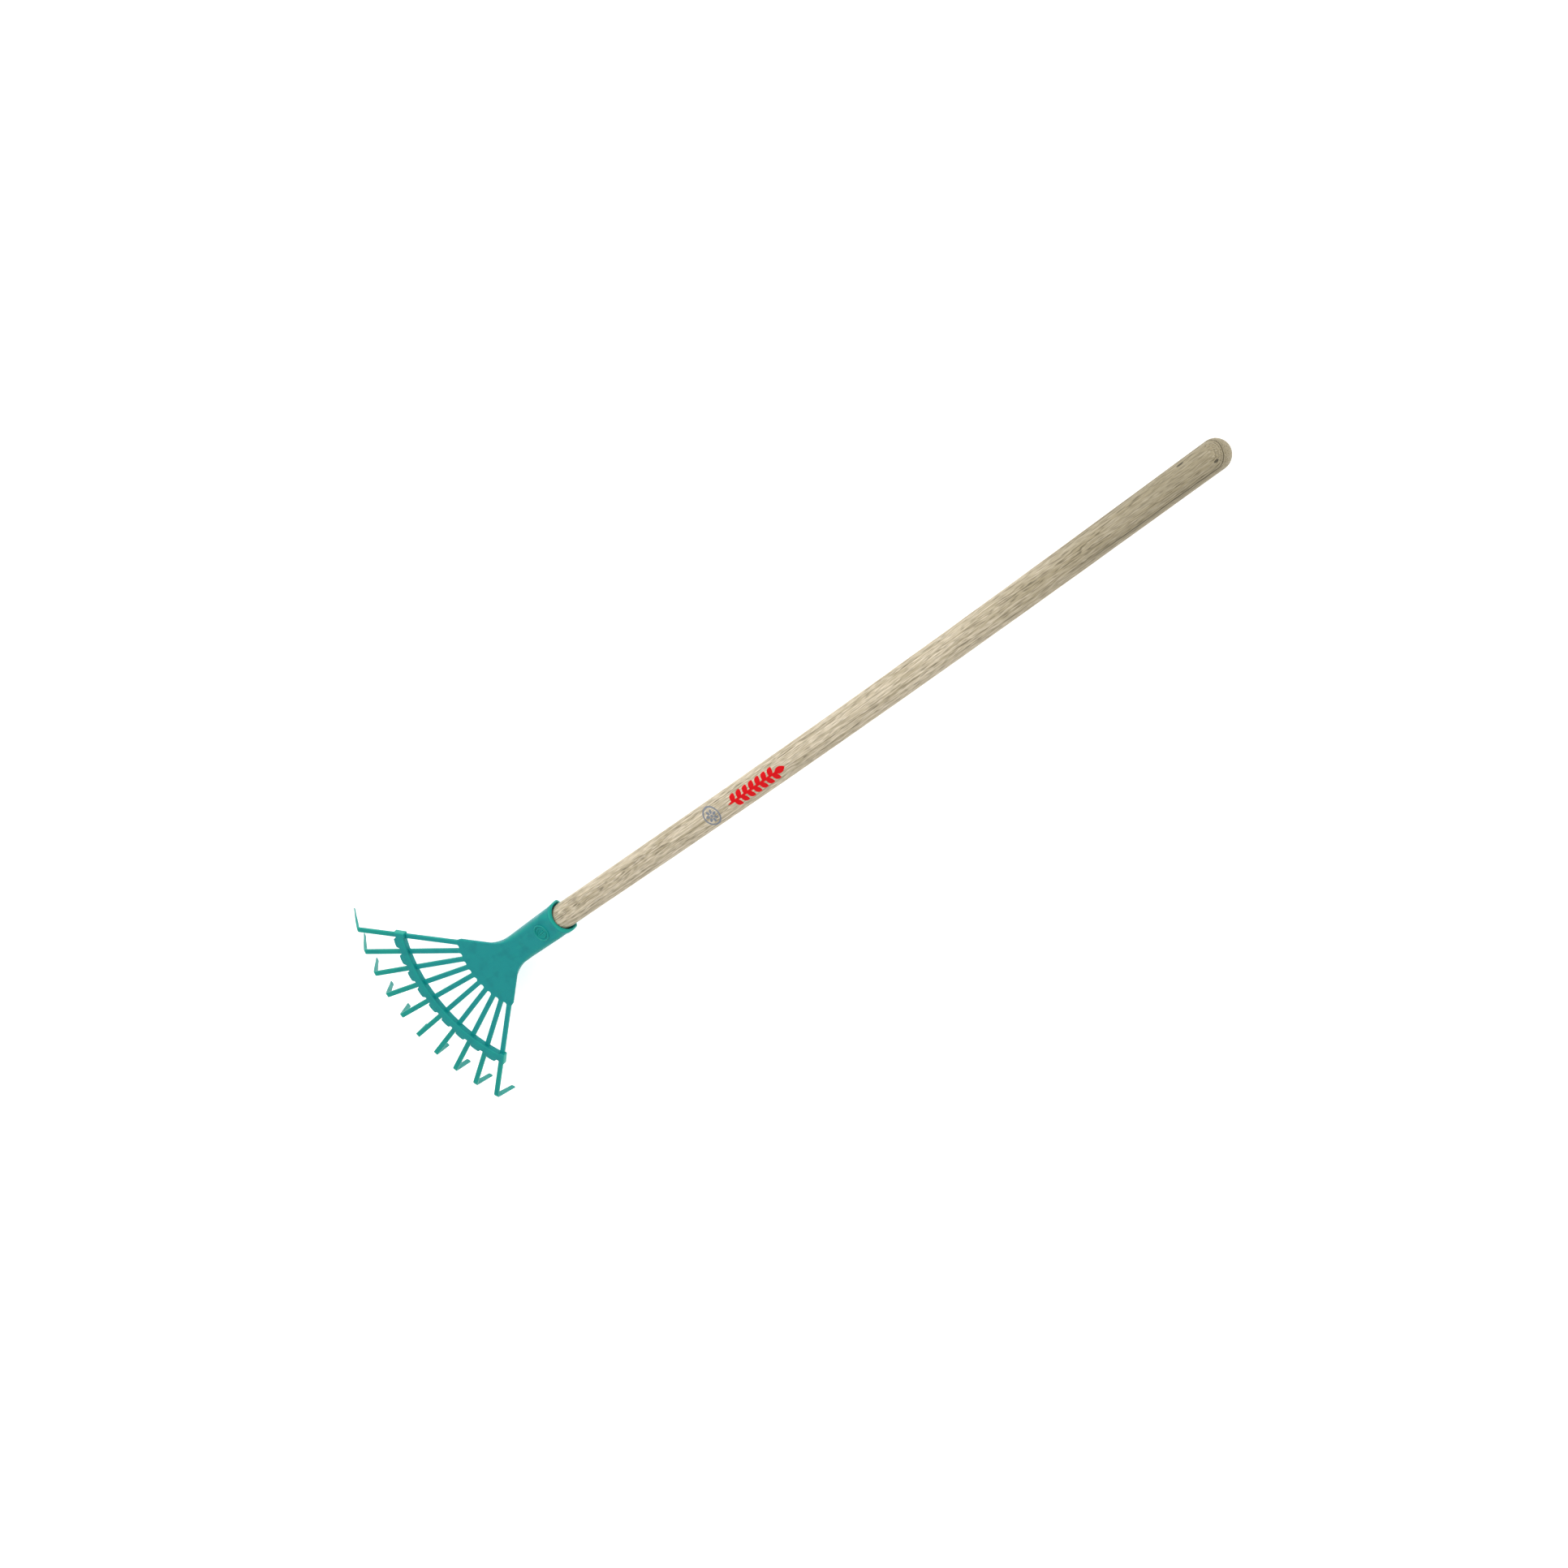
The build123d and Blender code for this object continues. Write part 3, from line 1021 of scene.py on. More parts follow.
@dataclass
class EmbossedLeaf:
    """A plain leaf in a hoop, moulded in low relief on the front of the socket."""

    centre: float = -21.5
    length: float = 10.5
    half_width: float = 4.0
    hoop_radius: float = 6.3
    ridge: float = 0.62
    relief: float = 0.75
    veins: int = 3
    collar_end: float = 4.0
    slope_length: float = 46.0
    socket_half: float = 12.0
    neck_depth: float = 9.2

    def surface(self, x: Array) -> Array:
        """Height of the socket's front at a distance along the handle."""
        lean = np.clip((-np.asarray(x, float) - self.collar_end) / self.slope_length, 0.0, 1.0)
        return mixed(self.socket_half, self.neck_depth, lean)

    def ridge_tube(self, x: Array, y: Array, scale: float = 1.0, taper: float = 0.3) -> Skin:
        """A half-buried ridge along a line on the socket's front.

        Args:
            x: Distances along the handle.
            y: Side distances.
            scale: Share of the full ridge size.
            taper: Power of the taper at both ends, 0 for none.

        Returns:
            The ridge as a closed skin.
        """
        centres = np.stack([x, y, self.surface(x) - 0.05], axis=-1)
        ends = np.sin(np.linspace(0.08, np.pi - 0.08, len(x))) ** taper
        size = scale * ends
        rings = tube(centres, np.array([0.0, 0.0, 1.0]), self.ridge * size, self.relief * size)
        # painted highlight: the whole relief takes half the rim mark's lighter edge colour
        marks = np.full(rings.shape[:2], 0.5)
        return Skin.from_rings(rings, rim=marks, spring=np.zeros(rings.shape[:2]))

    def build(self, axes: RakeAxes, finish: bpy.types.Material) -> bpy.types.Object:
        """Build and dress the leaf.

        Each side of its outline is half_width times sin(pi s) to the power 0.75 along the
        length s. The midrib runs through it, and veins sweep from the midrib to the outline.

        Args:
            axes: The rake's axes in the frame.
            finish: The head's plastic.

        Returns:
            The piece.
        """
        share = np.linspace(0.0, 1.0, 44)
        x = self.centre + (share - 0.5) * self.length
        bow = self.half_width * np.sin(np.pi * share) ** 0.75
        skins = [self.ridge_tube(x, bow), self.ridge_tube(x, -bow)]
        round_hoop = np.linspace(0.0, 2 * np.pi + 0.02, 73)
        hoop_x = self.centre + self.hoop_radius * np.cos(round_hoop)
        skins.append(self.ridge_tube(hoop_x, self.hoop_radius * np.sin(round_hoop), 1.25, 0.0))
        rib = np.linspace(-0.5, 0.5, 24)
        skins.append(self.ridge_tube(self.centre + rib * self.length, 0.35 * np.sin(rib * 5.0)))
        for vein in range(self.veins):
            root = 0.24 + 0.2 * vein
            run = np.linspace(0.0, 1.0, 12)
            at = root + 0.16 * run**1.3
            reach = self.half_width * np.sin(np.pi * (root + 0.16)) ** 0.75 * run * 0.92
            for way in (-1.0, 1.0):
                skins.append(self.ridge_tube(self.centre + (at - 0.5) * self.length, way * reach, 0.7))
        piece = Skin.joined(skins).build("embossed_leaf", axes)
        piece.data.materials.append(finish)
        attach(piece, RAKE_BODY)
        return piece


@dataclass
class CrossBrace:
    """Raised curved bar that ties the tines, with a scalloped lobe after each tine."""

    layout: FanLayout
    inner: float = 107.2
    outer: float = 115.2
    low: float = -1.6
    high: float = 3.6
    lobe_top: float = 2.1
    lobe_reach: float = 3.3
    cap_overhang: float = 1.8
    soften: float = 0.7
    gap_steps: int = 26

    def lobes(self, angle: Array) -> Array:
        """How far the outer side stands out beyond the bar at each angle.

        Counted from a tine to the next, a lobe rises steeply just after the tine, stays full
        to about two thirds of the way, drops to a notch and sweeps up a little to the next tine.

        Args:
            angle: Angles about the apex, in radians.

        Returns:
            Distances beyond the bar's outer radius.
        """
        lay = self.layout
        count = (lay.angle(0) - angle) / math.radians(lay.pitch)
        inside = (count > 0.0) & (count < lay.tines - 1)
        share = np.mod(count, 1.0)
        full = between(share, 0.10, 0.20) * (1.0 - between(share, 0.66, 0.80))
        crown = 0.86 + 0.14 * np.sin(np.clip((share - 0.1) / 0.65, 0, 1) * np.pi)
        sweep = 0.38 * between(share, 0.82, 1.0) ** 2 + 0.30 * (1.0 - between(share, 0.0, 0.1))
        return self.lobe_reach * np.where(inside, full * crown + sweep, 0.32)

    def build(self, axes: RakeAxes, finish: bpy.types.Material) -> bpy.types.Object:
        """Build and dress the brace.

        A section of the bar and its lobe is carried round the apex from the first tine's side to
        the last tine's side. At both ends it swells into a cap and is rounded off.

        Args:
            axes: The rake's axes in the frame.
            finish: The head's plastic.

        Returns:
            The piece.
        """
        lay = self.layout
        last = abs(lay.angle(0)) + (lay.tine_width / 2 + self.cap_overhang) / self.outer
        cap = (lay.tine_width + 2.6) / self.outer
        ends = last - np.array([0.0, 0.12, 0.3, 0.6, 1.0, 2.0, 3.4, 4.2, 4.8, 5.4]) / self.outer
        inner_run = np.linspace(last - cap, -(last - cap), self.gap_steps * (lay.tines - 1) + 1)
        angle = np.concatenate([ends, inner_run[1:-1], -ends[::-1]])
        from_end = (last - np.abs(angle)) * self.outer
        swell = 1.0 - between(from_end, 3.6, 4.8)
        inward = 1.0 - np.clip(from_end / self.soften, 0, 1)
        shrink = self.soften * (1.0 - np.sqrt(np.clip(1.0 - inward**2, 0, 1)))

        inner = self.inner - 1.3 * swell + shrink
        outer = self.outer + self.lobes(angle) * (1.0 - swell) + 1.1 * swell - shrink
        top = self.high - shrink
        web = mixed(self.lobe_top, self.high, swell) - shrink
        low = self.low + shrink
        ridge = mixed(self.outer - 1.0, self.outer - 0.2, swell)
        soft = self.soften
        turn = np.linspace(0.0, np.pi / 2, 5)
        ease_in, ease_out = 1 - np.cos(turn), 1 - np.sin(turn)
        peak, crown = top[:, None], 0.6
        wall = np.stack([inner[:, None] + soft * ease_in, peak - soft * ease_out], axis=-1)
        crest = np.stack([ridge[:, None] - crown * ease_out, peak - crown * ease_in], axis=-1)
        valley_r = ridge[:, None] + np.array([0.1, 0.3, 0.6])
        valley_r = np.minimum(valley_r, outer[:, None] - 0.5 - np.array([0.15, 0.1, 0.05]))
        valley_z = mixed(crest[:, -1:, 1], web[:, None], np.array([0.55, 0.9, 1.0]))
        valley_z = np.minimum(valley_z, crest[:, -1:, 1])
        valley = np.stack([valley_r, valley_z], axis=-1)
        edge = 0.45
        shelf = np.minimum(web[:, None], valley_z[:, -1:])
        lip = np.stack([outer[:, None] - edge * ease_out, shelf - edge * ease_in], axis=-1)
        upper = np.concatenate([wall, crest, valley, lip], axis=1)
        lower = upper.copy()
        rise = np.concatenate([ease_out, np.zeros(8), ease_in])
        lower[..., 1] = low[:, None] + edge * rise
        section = np.concatenate([upper, lower[:, ::-1]], axis=1)
        rings = lay.polar(section[..., 0], angle[:, None], section[..., 1])
        # painted highlight on the bar's rounded inner top edge, crest and outer lip, weaker on the
        # underside half; both cap ends take it in full
        wall_highlight, crest_highlight = [0.0, 0.1, 0.5, 0.8, 0.3], [0.0, 0.1, 0.4, 0.5, 0.3]
        highlight_row = np.array(wall_highlight + crest_highlight + [0.1, 0.0, 0.0] + [0.1, 0.4, 0.9, 0.6, 0.3])
        rim = np.tile(np.concatenate([highlight_row, highlight_row[::-1] * 0.4]), (len(angle), 1))
        rim = np.maximum(rim, (1.0 - between(from_end, 0.4, 1.2))[:, None])
        # the brace takes a little of the sprung tines' lighter painted tone
        skin = Skin.from_rings(rings, rim=rim, spring=np.full(rim.shape, 0.15))
        piece = skin.build("cross_brace_moulding", axes)
        piece.data.materials.append(finish)
        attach(piece, RAKE_BODY)
        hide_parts("cross_brace")
        return piece


@dataclass
class Tines:
    """Ten flat tines, each one strip from inside the plate, through the brace, to its hook."""

    layout: FanLayout
    root: float = 52.5
    plate_edge: float = 57.0
    clear_of_plate: float = 63.0
    bend: float = 154.0
    bend_radius: float = 3.0
    hook_drop: float = 28.0
    first_lean: float = 41.0
    last_lean: float = 20.0
    corner: float = 0.5
    end_thin: float = 0.45
    flex_start: float = 113.9
    flex_end: float = 118.5
    bend_to_end: int = 29  # points of the path from the middle of the bend to the hook's end

    def path(self, lean: float) -> tuple[Array, Array, Array]:
        """Line of one tine in its own upright plane.

        It runs straight out to the bend, turns down round an arc of the bend radius, and goes
        straight along the hook, which leans outwards from square by the lean.

        Args:
            lean: Lean of the hook, in radians.

        Returns:
            Points of reach and height, unit normals, and distances from the hook's end.
        """
        turn = math.pi / 2 - lean
        cut = self.bend_radius * math.tan(turn / 2)
        hook = self.hook_drop / math.cos(lean)
        inner, flexing = np.linspace(self.root, 104.0, 20), np.linspace(106.0, 122.0, 17)
        flat = np.concatenate([inner, flexing, np.linspace(125.0, self.bend - cut, 12)])
        straight = np.stack([flat, np.zeros(len(flat))], axis=-1)
        sweep = np.linspace(0.0, turn, 11)[1:]
        arc_reach = self.bend - cut + self.bend_radius * np.sin(sweep)
        arc = np.stack([arc_reach, -self.bend_radius * (1 - np.cos(sweep))], axis=-1)
        way = np.array([math.sin(lean), -math.cos(lean)])
        rounded = 3.0 - 3.0 * np.sin(np.linspace(0, np.pi / 2, 12)[1:])
        left = np.concatenate([np.linspace(hook - cut, 3.0, 12)[1:], rounded])
        down = np.array([self.bend, 0.0]) + way * (hook - left)[:, None]
        points = np.concatenate([straight, arc, down])
        angle = np.concatenate([np.zeros(len(flat)), sweep, np.full(len(left), turn)])
        normals = np.stack([np.sin(angle), np.cos(angle)], axis=-1)
        steps = np.linalg.norm(np.diff(points, axis=0), axis=1)
        to_end = np.concatenate([np.cumsum(steps[::-1])[::-1], [0.0]])
        return points, normals, to_end

    def strip(self, index: int) -> Skin:
        """One tine as a rounded strip carried along its path.

        Half the width is the tine's, and near the end it follows a half circle, sqrt(r r -
        (r - d)(r - d)) at distance d from the end.

        Args:
            index: Which tine, from 0.

        Returns:
            The closed skin with its marks.
        """
        lay = self.layout
        lean = math.radians(mixed(self.first_lean, self.last_lean, index / (lay.tines - 1)).item())
        points, normals, to_end = self.path(lean)
        half = lay.tine_width / 2
        inside = np.clip(to_end / half, 0.0, 1.0)
        width = half * np.sqrt(np.clip(1.0 - (1.0 - inside) ** 2, 0.0, 1.0)) + 0.02
        thick = lay.half_tine * mixed(self.end_thin, 1.0, between(to_end, 4.0, 26.0))
        thick = thick * mixed(0.45, 1.0, between(to_end, 0.0, 1.1))
        rooted = 1.0 - between(points[:, 0], self.plate_edge, self.clear_of_plate)
        thick = thick + 0.16 * rooted
        width = width - 0.04 * rooted
        corner = np.minimum(self.corner, np.minimum(width, thick) * 0.9)
        turn = np.linspace(0.0, np.pi / 2, 5)
        wing = width[:, None] - corner[:, None] * (1 - np.cos(turn))
        rise = thick[:, None] - corner[:, None] * (1 - np.sin(turn))
        flat = (width - corner)[:, None] * np.array([0.6, 0.2, -0.2, -0.6])
        across = np.concatenate([wing, flat, -wing[:, ::-1]], axis=1)
        level = np.concatenate([rise, thick[:, None] + 0 * flat, rise[:, ::-1]], axis=1)
        side = np.concatenate([across, across[:, ::-1]], axis=1)
        height = np.concatenate([level, -level[:, ::-1]], axis=1)
        reach = points[:, :1] + normals[:, :1] * height
        up = points[:, 1:] + normals[:, 1:] * height
        angle = lay.angle(index)
        out = reach * math.cos(angle) - side * math.sin(angle)
        over = reach * math.sin(angle) + side * math.cos(angle)
        rings = lay.fan(out, over, up)
        # painted highlight along the tine's rounded edges, weaker on the back half
        edge = [0.35, 0.8, 1.0, 0.8, 0.4]
        row = np.array(edge + [0.05, 0.0, 0.0, 0.05] + edge[::-1])
        rim = np.tile(np.concatenate([row, row[::-1] * 0.3]), (len(points), 1))
        # painted highlight where the tine turns down into its hook
        bent = np.exp(-(((to_end - to_end[-self.bend_to_end]) / 2.2) ** 2))
        rim[:, : len(row)] = np.maximum(rim[:, : len(row)], bent[:, None] * 0.8)
        # painted light: the sprung outer length of each tine takes the lighter tip tone
        spring = between(points[:, 0], 112.0, 120.0)[:, None] + np.zeros(rim.shape)
        return Skin.from_rings(rings, rim=rim, spring=spring)

    def build(self, axes: RakeAxes, finish: bpy.types.Material) -> list[bpy.types.Object]:
        """Build and dress all tines.

        Args:
            axes: The rake's axes in the frame.
            finish: The head's plastic.

        Returns:
            The pieces, from the first tine to the last.
        """
        lay = self.layout
        pieces = []
        for index in range(lay.tines):
            number = f"{index + 1:02d}"
            piece = self.strip(index).build(f"tine_{number}", axes)
            piece.data.materials.append(finish)
            ends = lay.polar(np.array([self.flex_start, self.flex_end]), lay.angle(index), 0.0)
            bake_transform(piece)
            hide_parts(f"tine_root_{number}", f"spring_tine_{number}")
            pieces.append(piece)
        return pieces


# ---- the wood and what is printed on it ------------------------------------------------------


@dataclass(frozen=True)
class Bow:
    """Slight sideways bend of a seasoned dowel."""

    depth: float = 2.6
    length: float = 650.0

    def shift(self, along: Array) -> Array:
        """Side distance of the dowel's middle: minus depth sin(pi x / length) past the mouth."""
        return -self.depth * np.sin(np.pi * np.maximum(along, 0.0) / self.length)


@dataclass
class Handle:
    """Wooden dowel with a domed grip end and a tapered end inside the socket."""

    radius: float = 10.0
    exposed: float = 685.0
    insert: float = 45.8
    insert_radius: float = 7.7
    around: int = 96
    wear: float = 0.10
    bow: Bow = Bow()
    dark_layer: float = 65.2
    knots: Knots = (
        (678.5, -2.2, 9.2, 2.6, 1.0),
        (655.5, 8.2, 5.6, 3.4, 0.9),
        (683.0, -6.0, 4.2, 1.5, 1.0),
    )

    def build(self, axes: RakeAxes) -> bpy.types.Object:
        """Build and dress the handle.

        The outline turned about the axis is the taper, the straight dowel and a quarter circle.
        The radius is then eased down by up to wear, in slow waves along and around, and the
        whole dowel follows its bow.

        Args:
            axes: The rake's axes in the frame.

        Returns:
            The piece.
        """
        dome = np.linspace(0.0, np.pi / 2, 22)[1:]
        middle = self.exposed - self.radius
        end = np.array([0.0, 0.6]) - self.insert
        inserted = np.concatenate([end, np.linspace(-38, -0.5, 8)])
        shaft = np.linspace(0.5, middle, 150)
        x = np.concatenate([inserted, shaft, middle + self.radius * np.sin(dome)])
        out_share = np.clip((x + self.insert) / self.insert, 0, 1)
        taper = mixed(self.insert_radius, self.radius - 0.06, out_share)
        taper[0] -= 0.6
        domed = np.sqrt(np.clip(self.radius**2 - (x - middle) ** 2, 0.0004, None))
        outline = np.where(x > middle, domed, np.where(x < 0, taper, self.radius))
        angle = (np.arange(self.around) + 0.5) / self.around * 2 * np.pi
        grid, turn = np.meshgrid(x, angle, indexing="ij")
        waves = np.sin(grid / 23.0 + 2 * turn) + np.sin(grid / 41.0 - turn + 1.0)
        waves = waves + np.sin(grid / 9.5 + 3 * turn)
        eased = outline[:, None] * (1.0 - self.wear / self.radius * (0.5 + waves / 6.0))
        side = eased * np.cos(turn) + self.bow.shift(grid)
        rings = np.stack([grid, side, eased * np.sin(turn)], axis=-1)
        piece = Skin.from_rings(rings).build("wooden_handle", axes)
        piece.data.materials.append(PlanedWood().material(axes, self.dark_layer, self.knots))
        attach(piece, RAKE_BODY)
        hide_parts("handle")
        return piece


@dataclass
class WoodPrint:
    """Generic printed mark made of leaf shapes laid round the handle."""

    name: str
    ink: PrintInk
    centre: float
    side_angle: float
    radius: float = 10.0
    lift: float = 0.035
    sunk: float = 0.35
    slant: float = 0.72
    bow: Bow = Bow()

    def leaf(
        self, root: tuple[float, float], heading: float, length: float, width: float,
        blunt: float = 0.8,
    ) -> Skin:
        """One leaf or bar of ink wrapped round the handle.

        Across the handle w becomes the angle w / radius. Half the width at a share s of the
        length is width sin(pi s) to the power blunt.

        Args:
            root: Where it starts, along the handle and around it, from the mark's centre.
            heading: Direction from up the handle, in degrees.
            length: Length.
            width: Half width.
            blunt: Small values give a bar with round ends, large ones a pointed leaf.

        Returns:
            The closed skin.
        """
        share = np.linspace(0.0, 1.0, 22)
        half = width * np.clip(np.sin(np.pi * share), 0.0, 1.0) ** blunt + 0.02
        cross = np.linspace(-1.0, 1.0, 7)
        step = math.radians(heading)
        s = (share * length)[:, None]
        w = half[:, None] * cross
        along = root[0] + s * math.cos(step) - w * math.sin(step)
        round_by = root[1] + s * math.sin(step) + w * math.cos(step)
        turn = math.radians(self.side_angle) + round_by / self.radius
        return self.film(along, turn)

    def hoop(self, middle: float, half: float) -> Skin:
        """A band of ink round the mark's centre that looks round from straight in front.

        Args:
            middle: Radius of the band's middle line.
            half: Half the band's width.

        Returns:
            The closed skin.
        """
        step = np.linspace(0.0, 2 * np.pi + 0.01, 73)[:, None]
        reach = middle + half * np.array([-1.0, -0.33, 0.33, 1.0])
        along = reach * np.cos(step)
        turn = math.radians(self.side_angle) + np.arcsin(reach * np.sin(step) / self.radius)
        return self.film(along, turn)

    def film(self, along: Array, turn: Array) -> Skin:
        """A film of ink whose top is lift above the wood and whose bottom is sunk in it.

        Args:
            along: Distances up the handle from the mark's centre.
            turn: Angles round the handle, in radians.

        Returns:
            The closed skin.
        """
        tops = self.wrapped(along, turn, self.radius + self.lift)
        bottoms = self.wrapped(along, turn, self.radius - self.sunk)
        return Skin.from_rings(np.concatenate([tops, bottoms[:, ::-1]], axis=1))

    def wrapped(self, along: Array, turn: Array, radius: float) -> Array:
        """Points at a radius about the handle's axis, the turn counted from the front.

        Further round the handle a print lies nearer the fan, by slant radius (1 - cos turn), so
        it keeps its outline when the rake is seen from above the grip.

        Args:
            along: Distances up the handle from the mark's centre.
            turn: Angles round the handle, in radians.
            radius: Radius about the axis.

        Returns:
            The points.
        """
        x = self.centre + along - self.slant * radius * (1.0 - np.cos(turn))
        return np.stack([x, radius * np.sin(turn) + self.bow.shift(x), radius * np.cos(turn)], axis=-1)

    def dress(self, skins: list[Skin], axes: RakeAxes) -> bpy.types.Object:
        """Join the shapes, ink them and fix them to the rake.

        Args:
            skins: The mark's shapes.
            axes: The rake's axes in the frame.

        Returns:
            The piece.
        """
        piece = Skin.joined(skins).build(self.name, axes)
        piece.data.materials.append(self.ink.material(axes))
        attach(piece, RAKE_BODY)
        return piece


@dataclass
class SprigPrint(WoodPrint):
    """Red sprig: a stem with pairs of leaves and one at its end."""

    length: float = 63.0
    pairs: int = 7
    leaf_length: float = 7.9
    leaf_half: float = 2.3
    splay: float = 42.0

    def build(self, axes: RakeAxes) -> bpy.types.Object:
        """Build and dress the sprig.

        Args:
            axes: The rake's axes in the frame.

        Returns:
            The piece.
        """
        begin = -self.length / 2
        skins = [self.leaf((begin, 0.0), 0.0, self.length - 6.0, 0.85, 0.12)]
        pitch = (self.length - 14.0) / self.pairs
        for pair in range(self.pairs):
            at = begin + 4.5 + pair * pitch
            for shift, way in ((0.0, 1.0), (0.35, -1.0)):
                root = (at + pitch * shift, 0.2 * way)
                skins.append(self.leaf(root, self.splay * way, self.leaf_length, self.leaf_half))
        skins.append(self.leaf((self.length / 2 - 11.0, 0.0), 0.0, 11.0, 2.5))
        return self.dress(skins, axes)


@dataclass
class FlowerPrint(WoodPrint):
    """Grey flower in a hoop: petals about a round middle."""

    petals: int = 7
    petal_length: float = 3.9
    petal_half: float = 1.15
    petal_start: float = 1.55
    hoop_radius: float = 7.1
    hoop_half: float = 0.62

    def build(self, axes: RakeAxes) -> bpy.types.Object:
        """Build and dress the flower.

        Args:
            axes: The rake's axes in the frame.

        Returns:
            The piece.
        """
        skins = [self.hoop(self.hoop_radius, self.hoop_half)]
        for petal in range(self.petals):
            heading = 360.0 * petal / self.petals + 15.0
            way = math.radians(heading)
            start = (self.petal_start * math.cos(way), self.petal_start * math.sin(way))
            skins.append(self.leaf(start, heading, self.petal_length, self.petal_half, 0.7))
        skins.append(self.leaf((-1.15, 0.0), 0.0, 2.3, 1.15, 0.5))
        return self.dress(skins, axes)


@dataclass
class FixingScrew:
    """Countersunk screw in the back of the socket, with a cross recess."""

    setback: float = 22.0
    head_radius: float = 3.0
    shank_radius: float = 1.5
    base: float = -11.1
    head_height: float = 1.6
    length: float = 12.0
    slot_half: float = 0.42
    slot_length: float = 1.75
    slot_depth: float = 0.95
    around: int = 96

    def arm(self, run: Array, beside: Array) -> Array:
        """Depth share of one arm of the recess: 1 on its line, easing to 0 at its sides and ends.

        Args:
            run: Distances along the arm from the screw's middle.
            beside: Distances to the side of it.

        Returns:
            Shares from 0 to 1.
        """
        narrow = 1 - between(np.abs(beside), self.slot_half * 0.75, self.slot_half)
        return narrow * (1 - between(np.abs(run), self.slot_length * 0.5, self.slot_length))

    def build(self, axes: RakeAxes) -> bpy.types.Object:
        """Build and dress the screw.

        Rings run from the middle of the head's face out to its rim, up the cone and along the
        shank. The face sinks by slot_depth where either arm of the cross lies, less towards the
        arms' ends.

        Args:
            axes: The rake's axes in the frame.

        Returns:
            The piece.
        """
        face = np.linspace(0.02, self.head_radius - 0.15, 26)
        head, shank, end = self.head_radius, self.shank_radius, self.length
        rest_r = np.array([head, head, shank, shank, shank * 0.5, 0.02])
        rest_z = np.array([0.12, 0.3, self.head_height, end - 1.5, end - 0.5, end])
        angle = (np.arange(self.around) + 0.5) / self.around * 2 * np.pi
        radius = np.concatenate([face, rest_r])[:, None] + 0.0 * angle
        height = np.concatenate([0.0 * face, rest_z])[:, None] + 0.0 * angle
        x, y = radius * np.cos(angle), radius * np.sin(angle)
        sink = self.slot_depth * np.maximum(self.arm(x, y), self.arm(y, x))
        sink[len(face):] = 0.0
        rings = np.stack([x - self.setback, y, self.base + height + sink], axis=-1)
        piece = Skin.from_rings(rings).build("recessed_screw", axes, 30.0)
        piece.data.materials.append(PlatedSteel().material(axes))
        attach(piece, RAKE_BODY)
        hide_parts("fixing_screw")
        return piece


# ---- studio ----------------------------------------------------------------------------------


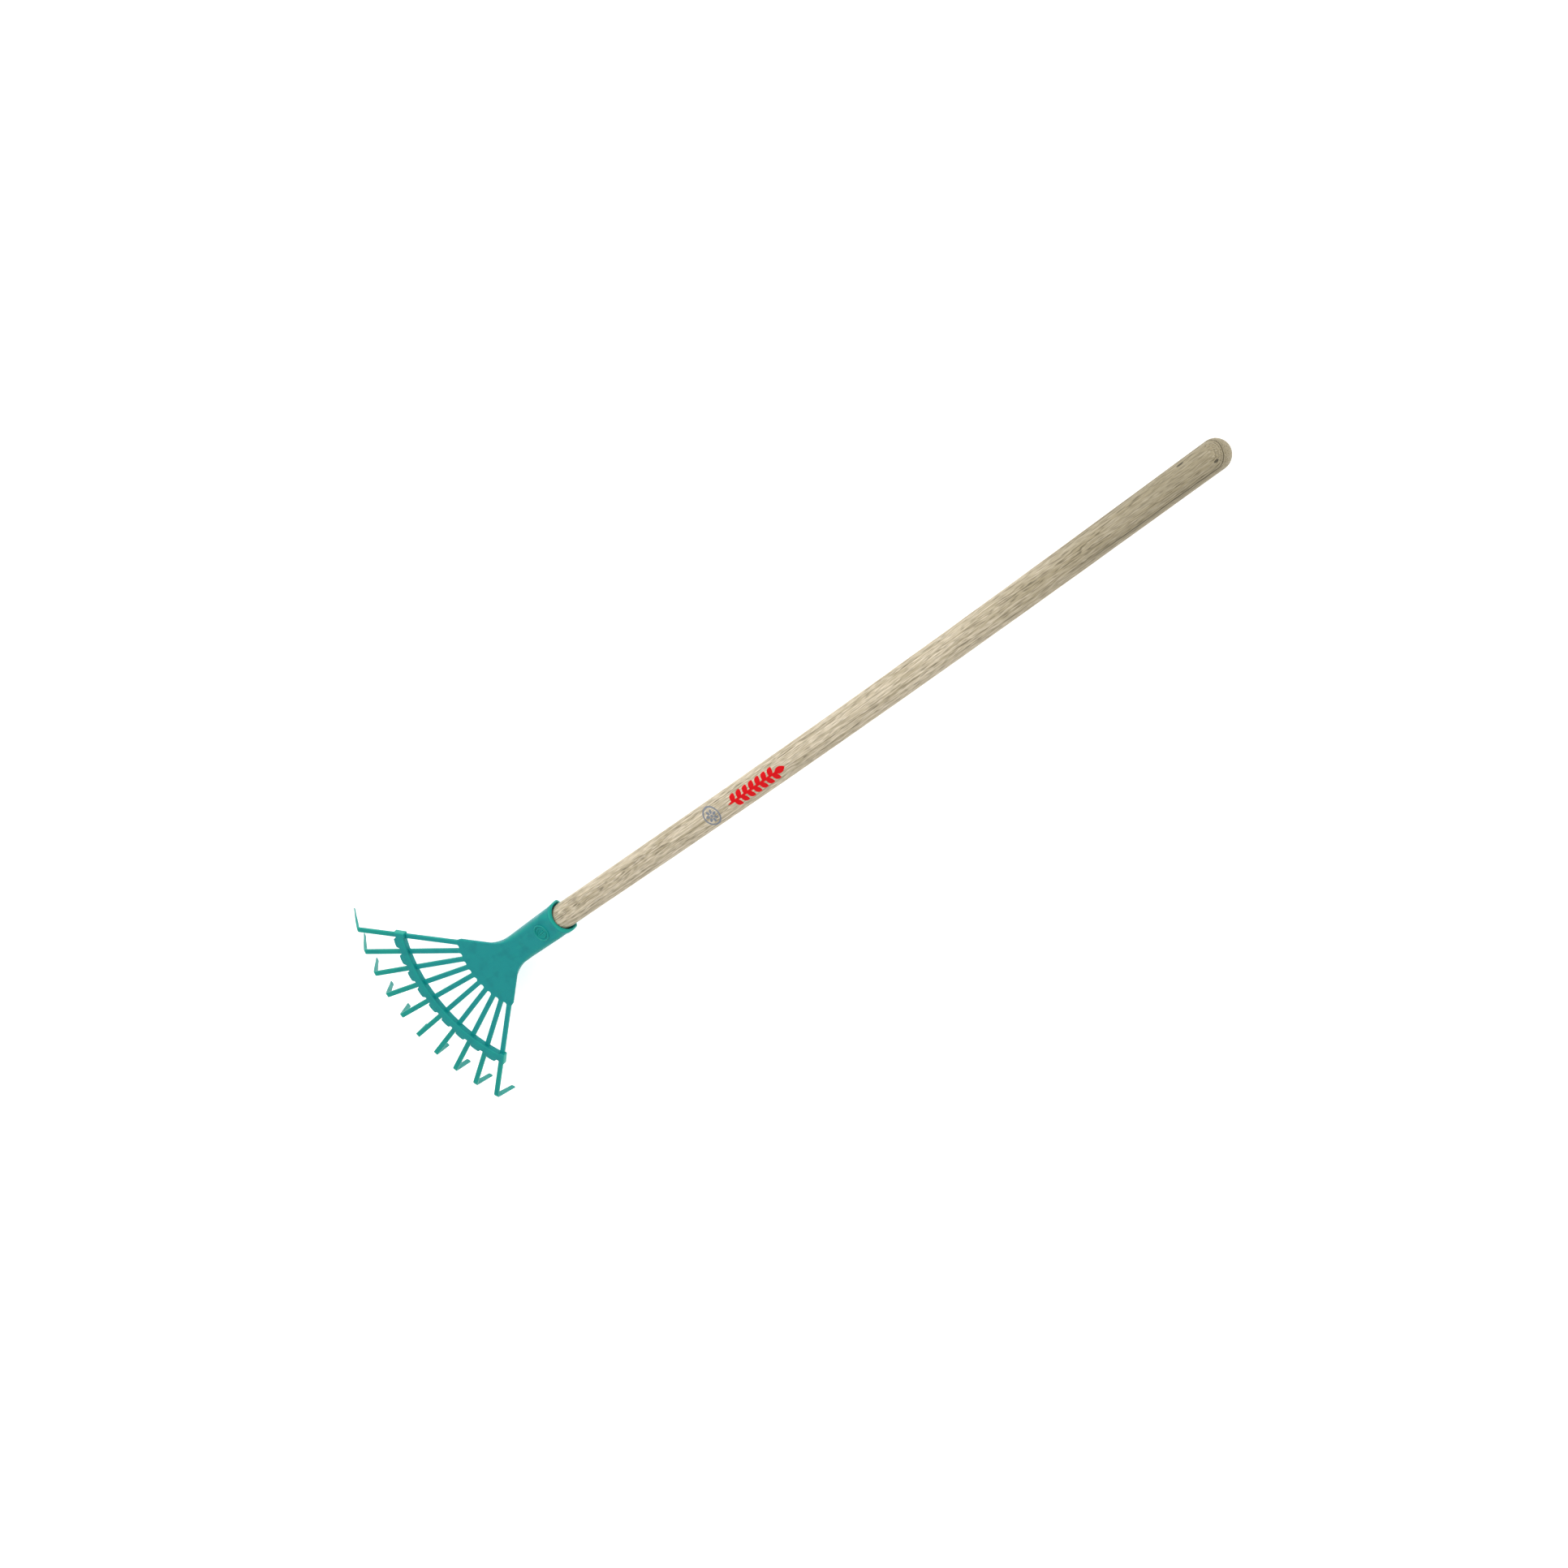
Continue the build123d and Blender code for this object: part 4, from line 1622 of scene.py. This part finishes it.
@dataclass
class Studio:
    """Pale floor, soft lights and the camera."""

    eye: tuple[float, float, float] = (1460.22, 142.81, 1413.15)
    target: tuple[float, float, float] = (251.14, -13.77, 0.0)
    roll: float = -134.575
    lens: float = 61.49
    sensor: float = 36.0
    floor_half: float = 9.0
    floor_drop: float = 0.0002
    sky_strength: float = 0.72
    floor_finish: dict[str, Any] = field(
        default_factory=lambda: {
            "Base Color": (0.95, 0.95, 0.95, 1.0),
            "Roughness": 0.9,
            "Specular IOR Level": 0.1,
            "Emission Color": (1.0, 1.0, 1.0, 1.0),
            "Emission Strength": 0.5,
        }
    )

    @staticmethod
    def stance(right: Array, up: Array, back: Array, place: Array) -> Matrix:
        """Matrix whose columns are three unit directions and a place, in metres."""
        rows = np.eye(4)
        rows[:3] = np.stack([right, up, back, place], axis=1)
        return Matrix(rows.tolist())

    def camera(self, axes: RakeAxes) -> None:
        """Make the camera from its eye, its target and its roll about the line of sight.

        Args:
            axes: The rake's axes in the frame.
        """
        eye, target = axes.place(np.array(self.eye)), axes.place(np.array(self.target))
        forward = (target - eye) / np.linalg.norm(target - eye)
        level = np.cross(forward, axes.front)
        level = level / np.linalg.norm(level)
        raised = np.cross(level, forward)
        roll = math.radians(self.roll)
        right = math.cos(roll) * level + math.sin(roll) * raised
        up = np.cross(right, forward)
        data = bpy.data.cameras.new("camera")
        data.lens, data.sensor_width, data.clip_end = self.lens, self.sensor, 50.0
        camera = bpy.data.objects.new("camera", data)
        camera.matrix_world = self.stance(right, up, -forward, eye)
        bpy.context.scene.collection.objects.link(camera)
        bpy.context.scene.camera = camera

    def floor(self) -> None:
        """Lay the floor just under the object, in a plain matt finish with a slight glow."""
        half = self.floor_half
        corners = [(-half, -half, 0), (half, -half, 0), (half, half, 0), (-half, half, 0)]
        mesh = bpy.data.meshes.new("floor")
        mesh.from_pydata([(x, y, z - self.floor_drop) for x, y, z in corners], [], [(0, 1, 2, 3)])
        floor = bpy.data.objects.new("floor", mesh)
        shader = Shader("studio_floor")
        floor.data.materials.append(shader.finish(self.floor_finish))
        bpy.context.scene.collection.objects.link(floor)

    def lamp(self, name: str, place: tuple[float, float, float], size: float, power: float) -> None:
        """Hang one square soft light that faces the object.

        Args:
            name: Name of the light.
            place: Where it hangs, in metres.
            size: Length of its side, in metres.
            power: Power in watts.
        """
        data = bpy.data.lights.new(name, "AREA")
        data.shape, data.size, data.energy = "SQUARE", size, power
        lamp = bpy.data.objects.new(name, data)
        away = np.array(place) / np.linalg.norm(place)
        side = np.cross([0.0, 0.0, 1.0], away)
        side = side / np.linalg.norm(side)
        lamp.matrix_world = self.stance(side, np.cross(away, side), away, np.array(place))
        bpy.context.scene.collection.objects.link(lamp)

    def build(self, axes: RakeAxes) -> None:
        """Set up sky, floor, lights and camera.

        Args:
            axes: The rake's axes in the frame.
        """
        world = bpy.data.worlds.new("studio_sky")
        world.use_nodes = True
        sky = world.node_tree.nodes["Background"]
        sky.inputs[0].default_value = (1.0, 1.0, 1.0, 1.0)
        sky.inputs[1].default_value = self.sky_strength
        bpy.context.scene.world = world
        bpy.context.scene.view_settings.view_transform = "Standard"
        self.floor()
        self.lamp("key", (0.5, 1.9, 2.2), 1.3, 34.0)
        self.lamp("fill", (1.6, -0.8, 2.4), 2.0, 14.0)
        self.camera(axes)


def main() -> None:
    """Build every sub-assembly in order and report each piece."""
    logging.basicConfig(level=logging.INFO, format="%(name)s: %(message)s")
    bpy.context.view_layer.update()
    mount = frame["record"]["mounts"][0]
    axes = RakeAxes.from_mount(mount, spare=mount["dims"]["r_mm"])
    layout = FanLayout()
    plastic = MouldedPlastic().material(axes)
    red = PrintInk("red_ink", from_srgb(214, 0, 14), from_srgb(180, 4, 18))
    grey = PrintInk("grey_ink", from_srgb(126, 132, 142), from_srgb(84, 88, 96))
    pieces = [
        HeadShell(layout).build(axes, plastic),
        EmbossedLeaf().build(axes, plastic),
        CrossBrace(layout).build(axes, plastic),
        *Tines(layout).build(axes, plastic),
        Handle().build(axes),
        FixingScrew().build(axes),
        SprigPrint("red_sprig_print", red, centre=238.5, side_angle=-1.0).build(axes),
        FlowerPrint("grey_flower_print", grey, centre=188.5, side_angle=0.5).build(axes),
    ]
    Studio().build(axes)
    for piece in pieces:
        LOG.info("%s: %d faces", piece.name, len(piece.data.polygons))


if __name__ == "__main__":
    main()
